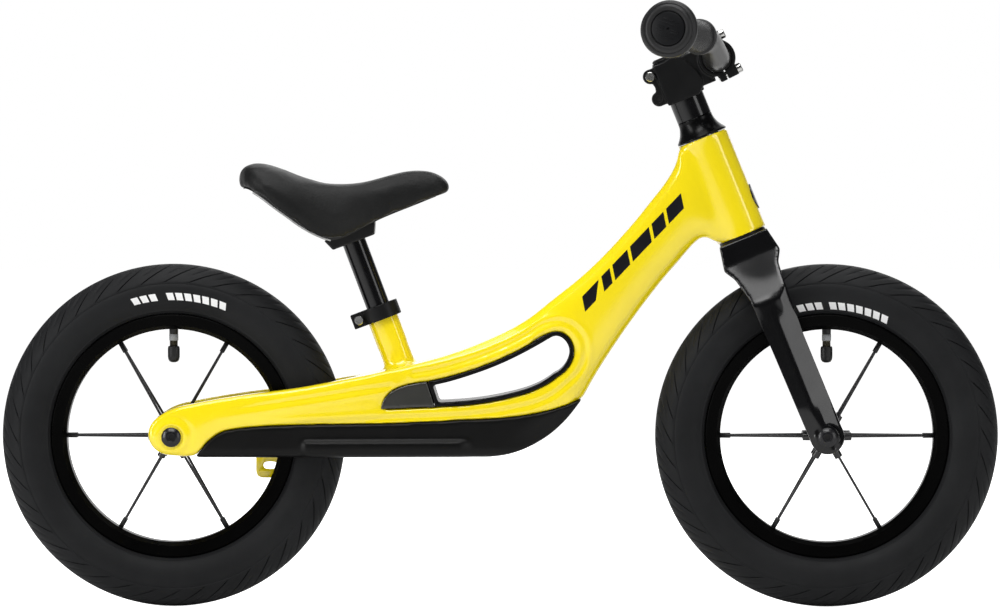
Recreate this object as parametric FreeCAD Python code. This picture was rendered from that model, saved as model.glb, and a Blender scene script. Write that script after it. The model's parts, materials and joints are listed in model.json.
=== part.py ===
import FreeCAD, Part
import math
import os

# Balance bike, millimetres. +X points forward, +Z up, +Y to the rider's left.
# The origin is on the ground, midway between the axles, on the centre plane.

V = FreeCAD.Vector

# ---------------------------------------------------------------- driving dimensions
WHEELBASE = 577.0            # between the two axles
TYRE_RADIUS = 151.5          # 50-203 tyre
TYRE_WIDTH = 50.5
BEAD_SEAT_RADIUS = TYRE_RADIUS - TYRE_WIDTH + 0.5
RIM_INNER_RADIUS = BEAD_SEAT_RADIUS - 7.5
RIM_FLANGE_HEIGHT = 6.4      # above the bead seat
RIM_HALF_WIDTH = 18.0
HUB_WIDTH = 74.0             # over the locknut faces
AXLE_RADIUS = 5.0
HEAD_TILT = 22.0             # steering axis from the vertical, degrees
FORK_OFFSET = 3.2            # axle ahead of the steering axis
FORK_LENGTH = TYRE_RADIUS + 40.7   # axle to the head tube's lower end, along the axis
HEAD_TUBE_LENGTH = 92.8
STEERER_RADIUS = 12.7
HEAD_TUBE_RADIUS = STEERER_RADIUS + 10.05
STEM_REACH = 38.0
STEM_RISE = 3.4              # bar centre above the stem clamp's middle
STEM_ANGLE = 5.0             # bar clamp's face above the perpendicular, degrees
BAR_CLAMP_RADIUS = 12.7
BAR_RADIUS = 11.1
BAR_HALF_WIDTH = 204.0
GRIP_LENGTH = 98.0
GRIP_RADIUS = 14.0
SEAT_TILT = 20.6             # seat tube from the vertical, degrees
SEATPOST_RADIUS = 10.5
SEAT_TUBE_RADIUS = SEATPOST_RADIUS + 3.4
SEATPOST_EXPOSED = 60.0      # collar to bracket
SEATPOST_INSERTED = 56.0
SEAT_DROP = 40.0             # how far the post may go down from rest
STAY_WIDTH = 13.0            # thickness of each chainstay at the axle
SADDLE_HALF_WIDTH = 52.0
FRAME_WALL = 2.2
GUARD_WALL = 3.0
LINER_WALL = 4.0
LINER_LIP = 0.6              # how far the liner stands proud of the frame's sides

# ---------------------------------------------------------------- clearances
RUNNING = 0.05               # radial, between pieces that turn or slide on each other
SNUG = 0.02                  # radial, between pieces of one body
BODY_GAP = 0.4               # between faces of different bodies
TYRE_CLEARANCE = 6.5

# ---------------------------------------------------------------- sizes of the details
SPOKES = 12
SPOKE_RADIUS = 1.15
NIPPLE_RADIUS = 2.1
NIPPLE_LENGTH = 12.0
FLANGE_OFFSET = 22.0
FLANGE_RADIUS = 15.0
EAR_RADIUS = 3.6
EAR_REACH = 21.0
BEARING_RADIUS = 11.0
BEARING_WIDTH = 6.0
HUB_END = 31.5
TYRE_WALL = 3.2
TREAD_EXTRA = 1.0
BEAD_WIDTH = 4.5
VALVE_RADIUS = 3.85
VALVE_CAP_RADIUS = 4.7
VALVE_LENGTH = 28.5
BOLT_HEAD_RADIUS = 8.85
BOLT_HEAD_HEIGHT = 4.5
AXLE_BOLT_RADIUS = 3.0
HEX_SOCKET = 5.0             # across flats
SLOT_POCKET = 46.0           # length of the covered rear end of the slot
HEADSET_BEARING_RADIUS = STEERER_RADIUS + 6.3
HEADSET_BEARING_HEIGHT = 7.5
HEADSET_INNER_RADIUS = STEERER_RADIUS + 2.8
CROWN_GAP = 2.2              # head tube's lower face to the fork crown
COVER_HEIGHT = 19.0
SPACER_HEIGHT = 9.8
SPACER_RADIUS = STEERER_RADIUS + 3.0
STEM_HEIGHT = 37.2
STEM_RADIUS = STEERER_RADIUS + 4.9
STEM_HALF_WIDTH = 21.0
COLLAR_HEIGHT = 13.0
COLLAR_WALL = 3.5
BRACKET_HEIGHT = 10.5

AXLE_Z = TYRE_RADIUS
REAR_X = -WHEELBASE / 2
FRONT_X = WHEELBASE / 2
HUB_FACE = HUB_WIDTH / 2
STAY_OUTER = HUB_FACE + STAY_WIDTH


# ---------------------------------------------------------------- helpers
def save(node, *shapes):
    """Write one node's STEP file from the solids of its shapes."""
    solids = [solid for shape in shapes for solid in shape.Solids]
    whole = solids[0] if len(solids) == 1 else Part.makeCompound(solids)
    whole.exportStep("parts/" + node + ".step")


def fuse(shapes):
    """One solid from several that overlap."""
    whole = shapes[0]
    for shape in shapes[1:]:
        whole = whole.fuse(shape)
    return whole.removeSplitter()


def rod(radius, start, end, axis):
    """A cylinder along a main axis, from one coordinate to another."""
    direction = {"X": V(1, 0, 0), "Y": V(0, 1, 0), "Z": V(0, 0, 1)}[axis]
    return Part.makeCylinder(radius, end - start, direction * start, direction)


def sleeve(outer, inner, start, end, axis):
    """A cylinder with a bore through it."""
    return rod(outer, start, end, axis).cut(rod(inner, start - 1, end + 1, axis))


def box(x0, x1, y0, y1, z0, z1):
    """A block between two corners."""
    return Part.makeBox(x1 - x0, y1 - y0, z1 - z0, V(x0, y0, z0))


def polygon(points):
    """A face from corner points."""
    return Part.Face(Part.makePolygon(points + [points[0]]))


def spline(points):
    """A smooth edge through points."""
    curve = Part.BSplineCurve()
    curve.interpolate(points)
    return curve.toShape()


def line(start, end):
    """A straight edge."""
    return Part.LineSegment(start, end).toShape()


def arc(start, middle, end):
    """A round edge through three points."""
    return Part.Arc(start, middle, end).toShape()


def face(edges):
    """A face inside a closed run of edges."""
    return Part.Face(Part.Wire(edges))


def offset(outline, distance):
    """A face grown (or shrunk, below zero) by the same distance all round, on plain spline edges."""
    if distance == 0:
        return outline
    edges = []
    for edge in outline.makeOffset2D(distance).Faces[0].OuterWire.OrderedEdges:
        if isinstance(edge.Curve, Part.Line):
            edges.append(line(edge.Vertexes[0].Point, edge.Vertexes[1].Point))
        else:
            edges.append(edge.Curve.toBSpline(edge.FirstParameter, edge.LastParameter).toShape())
    return Part.Face(Part.Wire(edges))


def turned(profile, axis="Z"):
    """A solid of revolution; the profile's points are (radius, height along the axis)."""
    if axis == "Z":
        return polygon([V(r, 0, h) for r, h in profile]).revolve(V(), V(0, 0, 1), 360)
    return polygon([V(r, h, 0) for r, h in profile]).revolve(V(), V(0, 1, 0), 360)


def mirrored(shape):
    """The same piece on the other side of the centre plane."""
    return shape.mirror(V(), V(0, 1, 0))


def placed(shape, frame):
    """A shape made in a local frame, moved to its place on the bike."""
    result = shape.copy()
    result.Placement = frame.multiply(result.Placement)
    return result


def tilted_frame(x, z, tilt):
    """A local frame whose +Z leans back by the tilt and whose +X leans forward and up."""
    return FreeCAD.Placement(V(x, 0, z), FreeCAD.Rotation(V(0, 1, 0), -tilt))


def hexagon(across_flats, centre, axis, depth):
    """A hexagonal prism for a hex socket, along a main axis."""
    corner = across_flats / math.sqrt(3)
    direction = {"Y": V(0, 1, 0), "Z": V(0, 0, 1), "X": V(1, 0, 0)}[axis]
    side = V(0, 0, 1) if axis != "Z" else V(1, 0, 0)
    other = direction.cross(side)
    points = []
    for k in range(6):
        turn = math.radians(60 * k)
        points.append(centre + side * corner * math.cos(turn) + other * corner * math.sin(turn))
    return polygon(points).extrude(direction * depth)


def screw(shank_radius, head_radius, head_height, length, socket):
    """A cap screw along +Z: the head's lower face is at zero and the shank goes down."""
    head = rod(head_radius, 0, head_height, "Z")
    head = head.makeChamfer(head_height * 0.15,
                            [e for e in head.Edges if e.BoundBox.ZMin > head_height - 0.01])
    body = head.fuse(rod(shank_radius, -length, 0, "Z")).removeSplitter()
    depth = head_height * 0.6
    return body.cut(hexagon(socket, V(0, 0, head_height - depth), "Z", depth + 1))


def screw_at(shape, point, direction):
    """A screw moved so that its head's lower face is at the point, with its head along a direction."""
    return placed(shape, FreeCAD.Placement(point, FreeCAD.Rotation(V(0, 0, 1), direction)))


# ---------------------------------------------------------------- local frames
lean = math.radians(HEAD_TILT)
head_x = FRONT_X - FORK_OFFSET * math.cos(lean) - FORK_LENGTH * math.sin(lean)
head_z = AXLE_Z - FORK_OFFSET * math.sin(lean) + FORK_LENGTH * math.cos(lean)
HEAD = tilted_frame(head_x, head_z, HEAD_TILT)

SEAT_TOP_X = -102.9
SEAT_TOP_Z = AXLE_Z + 101.4
SEAT = tilted_frame(SEAT_TOP_X, SEAT_TOP_Z, SEAT_TILT)


def rear(dx, dz):
    """A side-view point measured from the rear axle."""
    return V(REAR_X + dx, 0, AXLE_Z + dz)


def mid(dx, dz):
    """A side-view point measured from the middle of the bike at axle height."""
    return V(dx, 0, AXLE_Z + dz)


def head(forward, up):
    """A side-view point measured in the head tube's frame."""
    return HEAD.multVec(V(forward, 0, up))


# ---------------------------------------------------------------- frame outlines
STAY_END = [rear(20.5, -17.0), rear(4, -16.8), rear(-10.5, -14.0), rear(-18.5, -6.5), rear(-21, 3.5),
            rear(-17.5, 12.5), rear(-10.5, 19.0), rear(0.5, 25.0), rear(18.5, 29.5)]
BEAM_TOP = [rear(18.5, 29.5), rear(58.5, 36.5), rear(111.5, 43.5), rear(150, 50.5), mid(-103, 57.5),
            mid(-71, 65.0), mid(-44, 72.5), mid(-5, 87.5), mid(22, 101.5), mid(48, 121.5), mid(78, 146.0),
            head(-89.5, 43.5), head(-65.0, 57.0), head(-39.3, 72.5), head(-30.0, 81.0), head(-23.5, 90.5)]
BELLY_LINE = [mid(73, 33), mid(55, 26), mid(35, 20.7), mid(8, 16.6), mid(-31, 14.5), mid(-98, 11.7),
              rear(85, 9.6), rear(58, 7.2), rear(44, 4.2), rear(33.5, -3), rear(24.5, -13), rear(20.5, -17.0)]
BEAM_UNDER = [head(-20.0, 1.0), head(-24.5, 4.0), head(-28.5, 9.2), head(-33.5, 11.4), head(-40.0, 9.8),
              head(-60.0, -0.2), head(-83.0, -12.2), mid(114, 98.5), mid(97, 73.5), mid(85, 54.5),
              mid(73, 33)]
GUARD_NOSE = [mid(-8, -18.3), mid(10, -15.3), mid(35, -4.5), mid(55, 11), mid(73, 33)]


def side_face():
    """The frame body's outline seen from the side."""
    corners = [BEAM_TOP[-1], head(0, 90.5), head(0, 1.0), BEAM_UNDER[0]]
    close = [line(a, b) for a, b in zip(corners, corners[1:])]
    return face([spline(STAY_END), spline(BEAM_TOP)] + close
                + [spline(BEAM_UNDER), spline(BELLY_LINE)])


def slot_face():
    """The long slot through the frame, with its covered rear end."""
    upper = [mid(-105, 24), mid(-97, 38.5), mid(-84, 45), mid(-58, 49.5), mid(-31, 56.5), mid(-5, 65.8),
             mid(22, 78.6), mid(42, 90.0)]
    nose = [mid(42, 90.0), mid(56, 91.0), mid(65, 79), mid(63, 65), mid(50, 52.0)]
    lower = [mid(50, 52.0), mid(35, 42.5), mid(8, 33.8), mid(-18, 29), mid(-58, 26), mid(-105, 24)]
    return face([spline(upper), spline(nose), spline(lower)])


def plan_edge():
    """Half the frame's outline seen from above, from the stay's end to the head tube."""
    stay = STAY_OUTER
    return [V(REAR_X - 30, stay - 1.5, 0), V(REAR_X, stay, 0), V(REAR_X + 50, stay - 0.5, 0),
            V(-180, stay - 3.0, 0), V(-120, stay - 8.0, 0), V(-60, 35.5, 0), V(0, 30, 0), V(60, 26.5, 0),
            V(120, 23.5, 0), V(head_x, 21.5, 0), V(head_x + 30, 21.0, 0)]


def plan_solid(grow):
    """The frame's outer width, grown or shrunk by the same amount all round."""
    left = plan_edge()
    right = [V(p.x, -p.y, 0) for p in reversed(left)]
    outline = face([spline(left), line(left[-1], right[0]), spline(right), line(right[-1], left[0])])
    return offset(outline, grow).extrude(V(0, 0, 800))


def wheel_gap(grow):
    """The gap between the chainstays, with a round end in front of the tyre."""
    gap = TYRE_WIDTH / 2 + TYRE_CLEARANCE - grow
    front = REAR_X + TYRE_RADIUS + TYRE_CLEARANCE + 4 - grow
    wide = HUB_FACE - grow
    start = REAR_X - 60
    sides = [V(start, wide, 0), V(REAR_X + 20, wide, 0), V(front - gap, gap, 0)]
    other = [V(p.x, -p.y, 0) for p in reversed(sides)]
    edges = [line(sides[0], sides[1]), line(sides[1], sides[2]), arc(sides[2], V(front, 0, 0), other[0]),
             line(other[0], other[1]), line(other[1], other[2]), line(other[2], sides[0])]
    return face(edges).extrude(V(0, 0, 800))


def through(outline, half=80.0):
    """A side-view face pushed through the whole width."""
    return outline.translated(V(0, -half, 0)).extrude(V(0, 2 * half, 0))


# ---------------------------------------------------------------- frame
SEAT_BORE_DEPTH = SEATPOST_INSERTED - COLLAR_HEIGHT + SEAT_DROP + 1.0
GUARD_SCREWS = [(REAR_X + 62, STAY_OUTER - 8.0), (REAR_X + 62, -STAY_OUTER + 8.0), (-70.0, 0.0), (0.0, 0.0)]
SCREW_RADIUS = 2.5
SPOT_FACE_RADIUS = BOLT_HEAD_RADIUS + 2.0
TAB_THICKNESS = 5.0


def brake_tab():
    """The slotted lug under the left chainstay."""
    inner = HUB_FACE - 6.5
    profile = [rear(71.5, 16), rear(71.5, -26), rear(77, -34.5), rear(89, -35.5), rear(93.5, -31),
               rear(93.5, 16)]
    lug = polygon(profile).translated(V(0, inner, 0)).extrude(V(0, TAB_THICKNESS, 0))
    z = AXLE_Z - 27.0
    slot = fuse([rod(3.0, inner - 1, inner + TAB_THICKNESS + 1, "Y").translated(V(REAR_X + 80.5, 0, z)),
                 rod(3.0, inner - 1, inner + TAB_THICKNESS + 1, "Y").translated(V(REAR_X + 87.5, 0, z)),
                 box(REAR_X + 80.5, REAR_X + 87.5, inner - 1, inner + TAB_THICKNESS + 1, z - 3, z + 3)])
    return lug.cut(slot)


def frame_cavity():
    """The hollow inside the frame's body."""
    hollow = through(offset(side_face(), -FRAME_WALL)).cut(through(offset(slot_face(), FRAME_WALL)))
    hollow = hollow.common(plan_solid(-FRAME_WALL)).cut(wheel_gap(-FRAME_WALL))
    posts = [rod(18.0, -90, 90, "Y").translated(rear(0, 0))]
    for x, y in GUARD_SCREWS:
        posts.append(rod(6.0, 0, AXLE_Z + 28, "Z").translated(V(x, y, 0)))
    for post in posts:
        hollow = hollow.cut(post)
    return hollow


def frame():
    """The one-piece frame: beam, chainstays, head tube and seat tube."""
    body = through(side_face()).cut(through(slot_face())).common(plan_solid(0)).cut(wheel_gap(0))
    body = body.cut(frame_cavity())
    head_tube = placed(rod(HEAD_TUBE_RADIUS, 0, HEAD_TUBE_LENGTH, "Z"), HEAD)
    seat_tube = placed(rod(SEAT_TUBE_RADIUS, -SEAT_BORE_DEPTH - 4, COLLAR_HEIGHT - 1, "Z"), SEAT)
    body = fuse([body, head_tube, seat_tube, brake_tab()])
    bores = [placed(rod(HEADSET_INNER_RADIUS, -1, HEAD_TUBE_LENGTH + 1, "Z"), HEAD),
             placed(rod(HEADSET_BEARING_RADIUS + SNUG, -1, HEADSET_BEARING_HEIGHT + 1, "Z"), HEAD),
             placed(rod(HEADSET_BEARING_RADIUS + SNUG, HEAD_TUBE_LENGTH - HEADSET_BEARING_HEIGHT - 1,
                        HEAD_TUBE_LENGTH + 1, "Z"), HEAD),
             placed(rod(SEATPOST_RADIUS + RUNNING, -SEAT_BORE_DEPTH, COLLAR_HEIGHT + 1, "Z"), SEAT),
             rod(AXLE_BOLT_RADIUS + SNUG, -90, 90, "Y").translated(rear(0, 0)),
             rod(SPOT_FACE_RADIUS, STAY_OUTER, 90, "Y").translated(rear(0, 0)),
             rod(SPOT_FACE_RADIUS, -90, -STAY_OUTER, "Y").translated(rear(0, 0)),
             rod(2.0, 0, AXLE_Z + 30, "Z").translated(V(-40, 0, 0))]
    for x, y in GUARD_SCREWS:
        bores.append(rod(SCREW_RADIUS + SNUG, 0, AXLE_Z + 22, "Z").translated(V(x, y, 0)))
    for bore in bores:
        body = body.cut(bore)
    return body


# ---------------------------------------------------------------- guard, liner and insert
GUARD_BOTTOM = AXLE_Z - 18.0
STEP_TOP = AXLE_Z - 4.5
STEP_OUT = 4.0


def guard_face():
    """The belly guard's outline seen from the side."""
    rear_foot = rear(22.5, -18.0)
    return face([spline(BELLY_LINE), line(rear(20.5, -17.0), rear_foot), line(rear_foot, GUARD_NOSE[0]),
                 spline(GUARD_NOSE)])


def belly_guard():
    """The plastic guard and footrest under the frame: a channel that is open at the top."""
    outline = guard_face()
    shell = through(outline).common(plan_solid(0)).cut(wheel_gap(0))
    step = box(REAR_X + 115, -22, -90, 90, GUARD_BOTTOM, STEP_TOP).common(plan_solid(STEP_OUT))
    step = step.common(through(outline)).cut(wheel_gap(0))
    step = step.cut(plan_solid(-GUARD_WALL))
    hollow = through(offset(outline, -GUARD_WALL)).common(plan_solid(-GUARD_WALL)).cut(wheel_gap(-GUARD_WALL))
    shell = shell.cut(hollow).cut(hollow.translated(V(0, 0, 2 * GUARD_WALL)))
    shell = fuse([shell, step])
    for x, y in GUARD_SCREWS:
        post = rod(6.0, GUARD_BOTTOM + 0.5, AXLE_Z + 30, "Z").translated(V(x, y, 0))
        shell = shell.fuse(post.common(through(outline)).common(plan_solid(0)).cut(wheel_gap(0)))
        shell = shell.cut(rod(SCREW_RADIUS + SNUG, 0, AXLE_Z + 40, "Z").translated(V(x, y, 0)))
        shell = shell.cut(rod(4.6, 0, GUARD_BOTTOM + 3.5, "Z").translated(V(x, y, 0)))
    room = brake_tab().BoundBox
    side = BODY_GAP
    notch = box(room.XMin - side, room.XMax + side, room.YMin - side, room.YMax + side, 0, room.ZMax)
    return shell.cut(notch).removeSplitter()


def guard_screws():
    """The screws that hold the guard to the frame."""
    one = screw(SCREW_RADIUS, 4.4, 2.8, AXLE_Z + 20 - GUARD_BOTTOM - 3.5, 3.0)
    return [screw_at(one, V(x, y, GUARD_BOTTOM + 3.5), V(0, 0, -1)) for x, y in GUARD_SCREWS]


def pocket_block():
    """Everything behind the slanted web that closes the open part of the slot."""
    edge = -105.0 + SLOT_POCKET
    return through(polygon([mid(-130, 0), mid(edge + 8.5, 20), mid(edge - 4.5, 60), mid(-130, 60)]))


def liner_solid(shrink):
    """The slot's outline as a block, slightly proud of the frame's sides."""
    return through(offset(slot_face(), -shrink)).common(plan_solid(LINER_LIP))


def slot_liner():
    """The black liner round the slot's open part, closed at the rear by a slanted web."""
    ring = liner_solid(SNUG).cut(liner_solid(LINER_WALL))
    web = liner_solid(SNUG).common(pocket_block().cut(pocket_block().translated(V(-LINER_WALL, 0, 0))))
    ring = fuse([ring.cut(pocket_block()), web])
    seat_tube = placed(rod(SEAT_TUBE_RADIUS + SNUG, -SEAT_BORE_DEPTH - 5, 0, "Z"), SEAT)
    return ring.cut(seat_tube)


def slot_insert():
    """The glossy cover plates over the slot's rear end, one on each side."""
    block = liner_solid(0.3).common(pocket_block().translated(V(-LINER_WALL - 0.3, 0, 0)))
    return [solid for solid in block.cut(plan_solid(-2.4)).Solids]


# ---------------------------------------------------------------- headset, steerer and stem
COVER_BOTTOM = HEAD_TUBE_LENGTH + BODY_GAP
COVER_TOP = HEAD_TUBE_LENGTH + COVER_HEIGHT
STEM_BOTTOM = COVER_TOP + 2 * SPACER_HEIGHT
STEM_TOP = STEM_BOTTOM + STEM_HEIGHT
STEERER_TOP = STEM_TOP - 3.0
CROWN_DEPTH = 32.0
BAR_X = STEM_REACH
BAR_Z = STEM_BOTTOM + STEM_HEIGHT / 2 + STEM_RISE
STEERER_BORE = STEERER_RADIUS + SNUG
BAR_BORE = BAR_CLAMP_RADIUS + RUNNING
CLAMP_RADIUS = BAR_CLAMP_RADIUS + 3.8
FACE_SPLIT = 1.5             # faceplate's back face ahead of the bar's centre
FACE_BOLT_SPREAD = BAR_CLAMP_RADIUS + 4.05
FACE_BOLT_OUT = 14.0
LUG_FACE = 11.5              # faceplate bolt heads' seats ahead of the bar's centre
PINCH_BOLT_X = -STEM_RADIUS - 5.2
PINCH_BOLT_Z = [STEM_BOTTOM + 7.2, STEM_TOP - 8.8]
FRAME_OF_BAR = FreeCAD.Placement(V(BAR_X, 0, BAR_Z), FreeCAD.Rotation(V(0, 1, 0), -STEM_ANGLE))


def headset_bearing(start):
    """A sealed headset bearing."""
    return sleeve(HEADSET_BEARING_RADIUS, HEADSET_INNER_RADIUS, start, start + HEADSET_BEARING_HEIGHT, "Z")


def crown_race():
    """The race on the fork crown that runs in the lower bearing."""
    race = HEADSET_INNER_RADIUS - RUNNING
    return turned([(STEERER_BORE, -CROWN_GAP), (HEAD_TUBE_RADIUS - 1.5, -CROWN_GAP),
                   (HEAD_TUBE_RADIUS - 1.5, -BODY_GAP),
                   (race, -BODY_GAP), (race, HEADSET_BEARING_HEIGHT - 1),
                   (STEERER_BORE, HEADSET_BEARING_HEIGHT)])


def compression_ring():
    """The split ring that centres the steerer in the upper bearing."""
    race = HEADSET_INNER_RADIUS - RUNNING
    low = HEAD_TUBE_LENGTH - HEADSET_BEARING_HEIGHT + 1
    ring = turned([(STEERER_BORE, low), (race, low + 1), (race, COVER_BOTTOM + 1.2),
                   (STEERER_BORE, COVER_BOTTOM + 1.2)])
    return ring.cut(box(0, 20, -0.5, 0.5, low - 1, COVER_BOTTOM + 2))


def headset_cover():
    """The flared cover over the upper bearing."""
    flare = [V(HEAD_TUBE_RADIUS, 0, COVER_BOTTOM), V(HEAD_TUBE_RADIUS, 0, COVER_BOTTOM + 1.5)]
    edges = [line(flare[0], flare[1]),
             arc(flare[1], V(SPACER_RADIUS + 2.6, 0, COVER_BOTTOM + 7.5),
                 V(SPACER_RADIUS, 0, COVER_TOP - 3.5)),
             line(V(SPACER_RADIUS, 0, COVER_TOP - 3.5), V(SPACER_RADIUS, 0, COVER_TOP)),
             line(V(SPACER_RADIUS, 0, COVER_TOP), V(STEERER_BORE, 0, COVER_TOP)),
             line(V(STEERER_BORE, 0, COVER_TOP), V(STEERER_BORE, 0, COVER_BOTTOM + 1.2)),
             line(V(STEERER_BORE, 0, COVER_BOTTOM + 1.2), V(HEAD_TUBE_RADIUS - 3, 0, COVER_BOTTOM + 1.2)),
             line(V(HEAD_TUBE_RADIUS - 3, 0, COVER_BOTTOM + 1.2), V(HEAD_TUBE_RADIUS - 3, 0, COVER_BOTTOM)),
             line(V(HEAD_TUBE_RADIUS - 3, 0, COVER_BOTTOM), flare[0])]
    return face(edges).revolve(V(), V(0, 0, 1), 360)


def steerer_tube():
    """The steerer, from inside the crown to just under the stem's top."""
    return sleeve(STEERER_RADIUS, STEERER_RADIUS - 2.0, -CROWN_GAP - CROWN_DEPTH + 4, STEERER_TOP, "Z")


def star_nut():
    """The star nut inside the steerer."""
    nut = sleeve(STEERER_RADIUS - 2.0 - SNUG, 2.5 + SNUG, STEERER_TOP - 18, STEERER_TOP - 16.5, "Z")
    core = sleeve(4.5, 2.5 + SNUG, STEERER_TOP - 18, STEERER_TOP - 9, "Z")
    nut = nut.fuse(core)
    for k in range(4):
        notch = box(6, 12, -2, 2, STEERER_TOP - 19, STEERER_TOP - 15)
        nut = nut.cut(notch.rotate(V(), V(0, 0, 1), 90 * k + 45))
    return nut.removeSplitter()


def top_cap():
    """The cap on the stem."""
    cap = turned([(2.5 + SNUG, STEM_TOP), (STEM_RADIUS - 1.0, STEM_TOP), (STEM_RADIUS - 1.0, STEM_TOP + 1.8),
                  (STEM_RADIUS - 3.0, STEM_TOP + 3.2), (6.0, STEM_TOP + 3.2), (6.0, STEM_TOP + 1.2),
                  (2.5 + SNUG, STEM_TOP + 1.2)])
    return cap.fuse(sleeve(STEERER_RADIUS - 3.0, 2.5 + SNUG, STEM_TOP - 2, STEM_TOP + 1,
                           "Z")).removeSplitter()


def top_cap_bolt():
    """The bolt from the cap to the star nut."""
    return screw_at(screw(2.5, 4.4, 3.0, STEM_TOP - STEERER_TOP + 17, 4.0), V(0, 0, STEM_TOP + 1.2),
                    V(0, 0, 1))


def clamp_halves():
    """A block round the bar clamp, in the bar's own frame."""
    barrel = rod(CLAMP_RADIUS, -STEM_HALF_WIDTH, STEM_HALF_WIDTH, "Y")
    lugs = box(-6.0, LUG_FACE, -STEM_HALF_WIDTH, STEM_HALF_WIDTH, -FACE_BOLT_SPREAD - 4.6,
               FACE_BOLT_SPREAD + 4.6)
    return fuse([barrel, lugs]).cut(rod(BAR_BORE, -90, 90, "Y"))


def stem_body():
    """The stem: steerer clamp, arm and the rear half of the bar clamp."""
    barrel = rod(STEM_RADIUS, STEM_BOTTOM, STEM_TOP, "Z")
    arm = box(0, BAR_X - 8, -STEM_RADIUS + 2, STEM_RADIUS - 2, STEM_BOTTOM + 3.5, STEM_TOP - 2)
    web = box(PINCH_BOLT_X, 0, -13, 13, STEM_BOTTOM + 0.8, STEM_TOP - 2.4)
    bosses = [rod(6.5, -13, 13, "Y").translated(V(PINCH_BOLT_X, 0, z)) for z in PINCH_BOLT_Z]
    waist = rod(5.0, -20, 20, "Y").translated(V(PINCH_BOLT_X - 4.5, 0, sum(PINCH_BOLT_Z) / 2))
    bar_half = clamp_halves().cut(box(FACE_SPLIT - 1.2, 40, -60, 60, -60, 60))
    body = fuse([barrel, arm, web.cut(waist)] + bosses + [placed(bar_half, FRAME_OF_BAR)])
    body = body.cut(rod(STEERER_BORE, 0, 300, "Z"))
    body = body.cut(box(-60, -5, -1.0, 1.0, 0, 300))
    body = body.cut(placed(rod(BAR_BORE, -90, 90, "Y"), FRAME_OF_BAR))
    for z in PINCH_BOLT_Z:
        body = body.cut(rod(2.5 + SNUG, -30, 30, "Y").translated(V(PINCH_BOLT_X, 0, z)))
    for y in (-FACE_BOLT_OUT, FACE_BOLT_OUT):
        for z in (-FACE_BOLT_SPREAD, FACE_BOLT_SPREAD):
            hole = Part.makeCylinder(2.5 + SNUG, 16, V(-12, y, z), V(1, 0, 0))
            body = body.cut(placed(hole, FRAME_OF_BAR))
    return body.removeSplitter()


def stem_faceplate():
    """The removable front half of the bar clamp."""
    plate = clamp_halves().cut(box(-60, FACE_SPLIT, -60, 60, -60, 60))
    plate = plate.cut(box(5, 40, -7, 7, -60, 60).cut(box(5, 40, -7, 7, -12.0, 12.0)))
    for y in (-FACE_BOLT_OUT, FACE_BOLT_OUT):
        for z in (-FACE_BOLT_SPREAD, FACE_BOLT_SPREAD):
            plate = plate.cut(Part.makeCylinder(2.5 + SNUG, 40, V(-10, y, z), V(1, 0, 0)))
    return placed(plate, FRAME_OF_BAR)


def faceplate_bolts():
    """Four bolts through the faceplate."""
    one = screw(2.5, 4.2, 4.4, 18.0, 4.0)
    bolts = []
    for y in (-FACE_BOLT_OUT, FACE_BOLT_OUT):
        for z in (-FACE_BOLT_SPREAD, FACE_BOLT_SPREAD):
            bolts.append(placed(screw_at(one, V(LUG_FACE, y, z), V(1, 0, 0)), FRAME_OF_BAR))
    return bolts


def stem_clamp_bolts():
    """Two pinch bolts, one from each side."""
    one = screw(2.5, 4.2, 3.6, 24.0, 4.0)
    low = screw_at(one, V(PINCH_BOLT_X, 13.0, PINCH_BOLT_Z[0]), V(0, 1, 0))
    high = screw_at(one, V(PINCH_BOLT_X, -13.0, PINCH_BOLT_Z[1]), V(0, -1, 0))
    return [low, high]


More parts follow.
